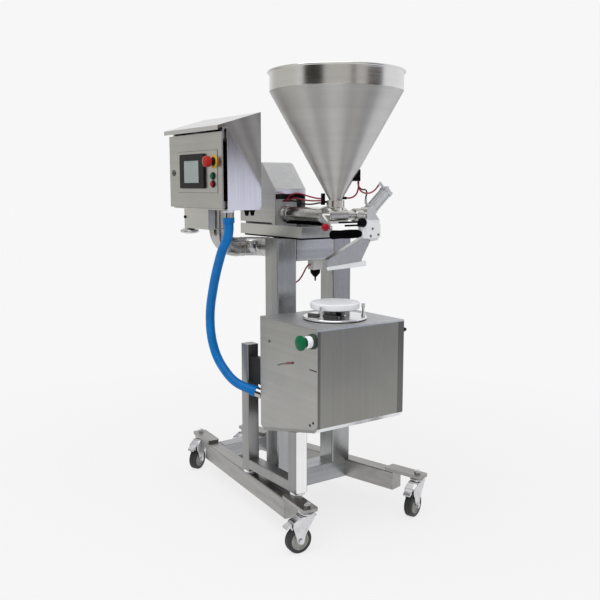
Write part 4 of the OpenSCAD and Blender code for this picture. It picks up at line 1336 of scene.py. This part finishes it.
@dataclass(frozen=True)
class Line:
    """A hose or tube between two fittings.

    Attributes:
        name: The piece's name.
        node: The CAD node that it stands for.
        finish: Its finish.
        diameter: Its outer diameter.
        length: Its real length in metres. Not used.
        route: Points that it runs through.
    """

    name: str
    node: str
    finish: Finish
    diameter: float
    length: float
    stiffness: str
    route: tuple[Point, ...]

    def build(self) -> None:
        curve = bpy.data.curves.new(self.name, "CURVE")
        curve.dimensions = "3D"
        curve.bevel_depth = self.diameter / 2 * MM
        curve.bevel_resolution = 8
        curve.use_fill_caps = True
        spline = curve.splines.new("BEZIER")
        spline.bezier_points.add(len(self.route) - 1)
        for knot, point in zip(spline.bezier_points, self.route):
            knot.co = at(*point)
            knot.handle_left_type = "AUTO"
            knot.handle_right_type = "AUTO"
        spline.resolution_u = 8
        piece = bpy.data.objects.new(self.name, curve)
        bpy.context.scene.collection.objects.link(piece)
        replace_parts(piece, self.node)
        fit_out(piece, "frame", self.finish)


HOSE_ROUTE = (
    (97, -281, 1172), (97, -281, 1151), (97, -281, 1130), (88, -284, 1092), (58, -288, 1050),
    (28, -288, 1000), (-5, -286, 940), (-35, -282, 880), (-60, -278, 820), (-75, -273, 760),
    (-78, -268, 705), (-70, -263, 660), (-50, -257, 615), (-15, -244, 568), (30, -226, 529),
    (76.2, -203.5, 510.2), (94.4, -192.5, 504.7), (112.7, -181.5, 499.2),
)
FILTER_ROUTE = (
    (105, 87.7, 979), (105, 80, 978), (105, 68, 968), (105, 55, 948), (105, 42, 930), (105, 28, 917),
    (105, 12, 910.5), (105, 0, 909), (105, -9.7, 909),
)
UPPER_ROUTE = (
    (30.3, 6, 1231), (40, 6, 1232), (54, 6, 1238), (70, 6, 1247), (90, 6, 1256), (115, 5, 1261.5),
    (145, 3, 1262.5), (180, -2, 1259.5), (215, -7, 1254), (255, -12, 1249), (295, -16, 1245.5),
    (315, -17, 1245), (324.7, -17, 1245),
)
MIDDLE_ROUTE = (
    (30.3, 18, 1231), (42, 18, 1232), (58, 18, 1236.5), (78, 17, 1241), (105, 15, 1243), (140, 11, 1241),
    (180, 5, 1238), (225, -3, 1236), (270, -10, 1236), (302, -16, 1237), (315, -17, 1237), (324.7, -17, 1237),
)
LOWER_ROUTE = (
    (30.3, 30, 1231), (42, 30, 1231.5), (60, 29, 1232.5), (85, 26, 1231.5), (115, 21, 1228), (150, 14, 1224),
    (190, 6, 1222), (235, -4, 1222.5), (275, -12, 1225.5), (302, -16.5, 1228.5), (315, -17, 1229),
    (324.7, -17, 1229),
)
NECK_ROUTE = (
    (408.7, 85.5, 1307.7), (408.7, 85.5, 1298), (408, 84, 1280), (405.4, 80.1, 1265), (400.1, 72.9, 1254),
    (392.5, 62.4, 1248), (387.3, 55.3, 1247), (383.8, 50.5, 1247),
)
RED_ROUTE = (
    (402.7, 89.1, 1307.7), (402.7, 89.1, 1300), (402, 93, 1285), (400, 102, 1274), (396, 118, 1267),
    (390, 136, 1264), (383, 156, 1264.5), (374, 178, 1268), (366, 198, 1275), (361, 213, 1284.3),
    (360, 220.4, 1290.6),
)
BLACK_ROUTE = (
    (396.7, 92.7, 1307.7), (396.7, 92.7, 1301), (396.6, 96.2, 1290), (395.5, 105, 1281.5), (392, 117, 1278),
    (387, 131, 1277.5), (380, 145, 1274), (371, 155.5, 1266), (363, 160.3, 1256), (360, 160.7, 1248),
    (360, 160.7, 1242.3),
)
LINES = (
    Line("hose_blue", "blue_hose", Finishes.HOSE, 36, 0.828, "stiff", HOSE_ROUTE),
    Line("tube_filter", "air_tubes", Finishes.RED_TUBE, 6, 0.128, "medium", FILTER_ROUTE),
    Line("tube_upper", "air_tubes", Finishes.RED_TUBE, 6, 0.303, "medium", UPPER_ROUTE),
    Line("tube_middle", "air_tubes", Finishes.RED_TUBE, 6, 0.299, "medium", MIDDLE_ROUTE),
    Line("tube_lower", "air_tubes", Finishes.TUBE, 6, 0.3, "medium", LOWER_ROUTE),
    Line("tube_neck", "air_tubes", Finishes.RED_TUBE, 6, 0.087, "medium", NECK_ROUTE),
    Line("tube_red", "air_tubes", Finishes.RED_TUBE, 6, 0.171, "medium", RED_ROUTE),
    Line("tube_black", "air_tubes", Finishes.TUBE, 6, 0.119, "medium", BLACK_ROUTE),
)


@dataclass(frozen=True)
class Screen:
    """A card or flag of the studio, as the metal mirrors it.

    Attributes:
        turn: Angle in degrees of its middle, from the camera's side towards the operator's right.
        width: Half its angle across, and the softness of that edge.
        lift: Elevation in degrees of its middle.
        height: Half its angle in height, and the softness of that edge.
        colour: Its colour.
    """

    turn: float
    width: Pair
    lift: float
    height: Pair
    colour: Colour

    def mask(self, wiring: Wiring, direction: Socket, azimuth: float) -> Socket:
        """Add a soft mask of the directions that the screen covers.

        Args:
            wiring: The world's nodes.
            direction: Socket of the direction.
            azimuth: Direction of the camera's side in degrees.

        Returns:
            The socket with the mask's value.
        """
        turn = math.radians(azimuth + self.turn)
        level = wiring.vector("NORMALIZE", wiring.vector("MULTIPLY", direction, (1.0, 1.0, 0.0)))
        toward = wiring.vector("DOT_PRODUCT", level, (math.sin(turn), -math.cos(turn), 0.0))
        across = wiring.within(wiring.maths("ARCCOSINE", toward), self.width)
        parts = wiring.node("SeparateXYZ", Vector=wiring.vector("NORMALIZE", direction))
        rise = wiring.maths("ARCSINE", parts.outputs["Z"])
        offset = wiring.maths("SUBTRACT", rise, math.radians(self.lift))
        upright = wiring.within(wiring.maths("ABSOLUTE", offset), self.height)
        return wiring.maths("MULTIPLY", across, upright)


SCREENS = (
    Screen(0, (62, 10), 0, (120, 10), (0.57, 0.555, 0.53)),
    Screen(180, (48, 14), 0, (120, 10), (0.84, 0.84, 0.84)),
    Screen(-106, (36, 14), 0, (120, 10), (0.63, 0.625, 0.585)),
    Screen(-41, (17, 4), 5, (60, 20), (0.03, 0.026, 0.022)),
    Screen(26, (4, 4), 5, (60, 20), (0.25, 0.24, 0.23)),
    Screen(118, (34, 5), 0, (36, 8), (0.98, 0.98, 1.0)),
    Screen(68, (13, 6), 0, (60, 20), (0.25, 0.27, 0.32)),
    Screen(64, (14, 6), 25, (23, 2.0), (0.12, 0.1, 0.09)),
    Screen(64, (14, 6), -2, (3.5, 2.0), (0.92, 0.93, 1.08)),
    Screen(0, (80, 20), 40, (13, 6), (0.12, 0.12, 0.13)),
    Screen(0, (180, 1), 90, (33, 10), (0.85, 0.86, 0.88)),
)


@dataclass
class Studio:
    """Camera, floor and soft light.

    Attributes:
        eye: Place of the camera in metres of the shared frame.
        azimuth: Direction from the object to the camera, in degrees from -Y towards +X.
        pitch: Angle in degrees by which the camera looks down.
        lens: Focal length for a sensor 36 mm wide.
        floor_half: Half the floor's side in metres.
        floor_tone: Colour of the floor.
        ambient: Level of the room's light on matt surfaces.
        backdrop: Level of the white backdrop.
        shadow_keep: Share of the backdrop's white in the floor next to the object.
        shadow_fade: Distances in metres between which the floor fades into the backdrop.
        lamp_place: Where the lamp hangs, in metres.
        lamp_target: What the lamp points at, in metres.
        lamp_size: Side of the square lamp in metres.
        lamp_watts: The lamp's power.
    """

    eye: Point = (2.63175, -1.7546, 1.29)
    azimuth: float = 55.13
    pitch: float = 8.2
    lens: float = 47.4
    floor_half: float = 2.7
    floor_tone: Colour = (0.86, 0.86, 0.86)
    ambient: float = 0.62
    backdrop: float = 0.93
    shadow_keep: float = 0.82
    shadow_fade: Pair = (0.9, 2.6)
    lamp_place: Point = (0.9, -1.3, 3.9)
    lamp_target: Point = (0.1, 0.0, 0.8)
    lamp_size: float = 3.8
    lamp_watts: float = 90.0

    def camera(self) -> None:
        """Set the camera where the photograph was taken from."""
        data = bpy.data.cameras.new("camera")
        data.lens = self.lens
        data.sensor_width = 36.0
        camera = bpy.data.objects.new("camera", data)
        turn, tilt = math.radians(self.azimuth), math.radians(self.pitch)
        back = Vector((math.sin(turn) * math.cos(tilt), -math.cos(turn) * math.cos(tilt), math.sin(tilt)))
        camera.location = self.eye
        camera.rotation_mode = "QUATERNION"
        camera.rotation_quaternion = (-back).to_track_quat("-Z", "Y")
        bpy.context.scene.collection.objects.link(camera)
        bpy.context.scene.camera = camera

    def floor(self) -> None:
        """Lay the plain pale floor, which keeps the shadow near the object and fades into the backdrop."""
        shape = bmesh.new()
        bmesh.ops.create_grid(shape, x_segments=1, y_segments=1, size=self.floor_half)
        piece = finish_mesh(shape, "floor", 30.0)
        graph = Graph("pale floor")
        graph.set(Roughness=0.9, Base_Color=(*self.floor_tone, 1.0))
        glow = graph.node("Emission", Color=(self.backdrop,) * 3 + (1.0,))
        distance = graph.vector("LENGTH", graph.place)
        fade = graph.spread(distance, self.shadow_keep, 1.0, *self.shadow_fade)
        share = graph.maths("MULTIPLY", fade, graph.seen_directly())
        sources = share, graph.shader.outputs["BSDF"], glow.outputs["Emission"]
        mix = graph.row(graph.node("MixShader"), *sources)
        graph.fill(graph.tree.nodes["Material Output"], Surface=mix.outputs["Shader"])
        piece.data.materials.append(graph.material)

    def lamp(self) -> None:
        """Hang the soft square lamp."""
        data = bpy.data.lights.new("key lamp", "AREA")
        data.size = self.lamp_size
        data.energy = self.lamp_watts
        lamp = bpy.data.objects.new("key lamp", data)
        lamp.location = self.lamp_place
        lamp.rotation_mode = "QUATERNION"
        aim = Vector(self.lamp_target) - Vector(self.lamp_place)
        lamp.rotation_quaternion = aim.to_track_quat("-Z", "Y")
        bpy.context.scene.collection.objects.link(lamp)

    def room(self) -> None:
        """Light the room: an even light, a white backdrop, and screens before it for the metal to mirror."""
        world = bpy.data.worlds.new("studio room")
        bpy.context.scene.world = world
        world.use_nodes = True
        wiring = Wiring(world.node_tree)
        wiring.tree.nodes.clear()
        direction = wiring.node("TexCoord").outputs["Generated"]
        white: Colour = (self.backdrop,) * 3
        walls: Tint = white
        for screen in SCREENS:
            walls = wiring.mixed(screen.mask(wiring, direction, self.azimuth), walls, screen.colour)
        glossy = wiring.node("LightPath").outputs["Is Glossy Ray"]
        shown = wiring.node("Background", Color=wiring.mixed(glossy, white, walls))
        plain = wiring.node("Background", Color=(1.0, 1.0, 1.0, 1.0), Strength=self.ambient)
        sources = wiring.seen_directly(), plain.outputs["Background"], shown.outputs["Background"]
        mix = wiring.row(wiring.node("MixShader"), *sources)
        wiring.node("OutputWorld", Surface=mix.outputs["Shader"])

    def build(self) -> None:
        """Set up the camera, the floor and the light."""
        self.camera()
        self.floor()
        self.room()
        self.lamp()
        bpy.context.scene.view_settings.view_transform = "Standard"


def main() -> None:
    """Build the machine around its frame, piece by piece."""
    logging.basicConfig(level=logging.INFO, format="%(name)s: %(message)s")
    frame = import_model()
    machine = Machine(frame)
    Studio().build()
    for line in LINES:
        line.build()
    Undercarriage().build(machine)
    TurntableUnit().build(machine)
    Filler().build(machine)
    Hopper().build()
    Outlet().build(machine)
    Cabinet().build(machine)


if __name__ == "__main__":
    main()
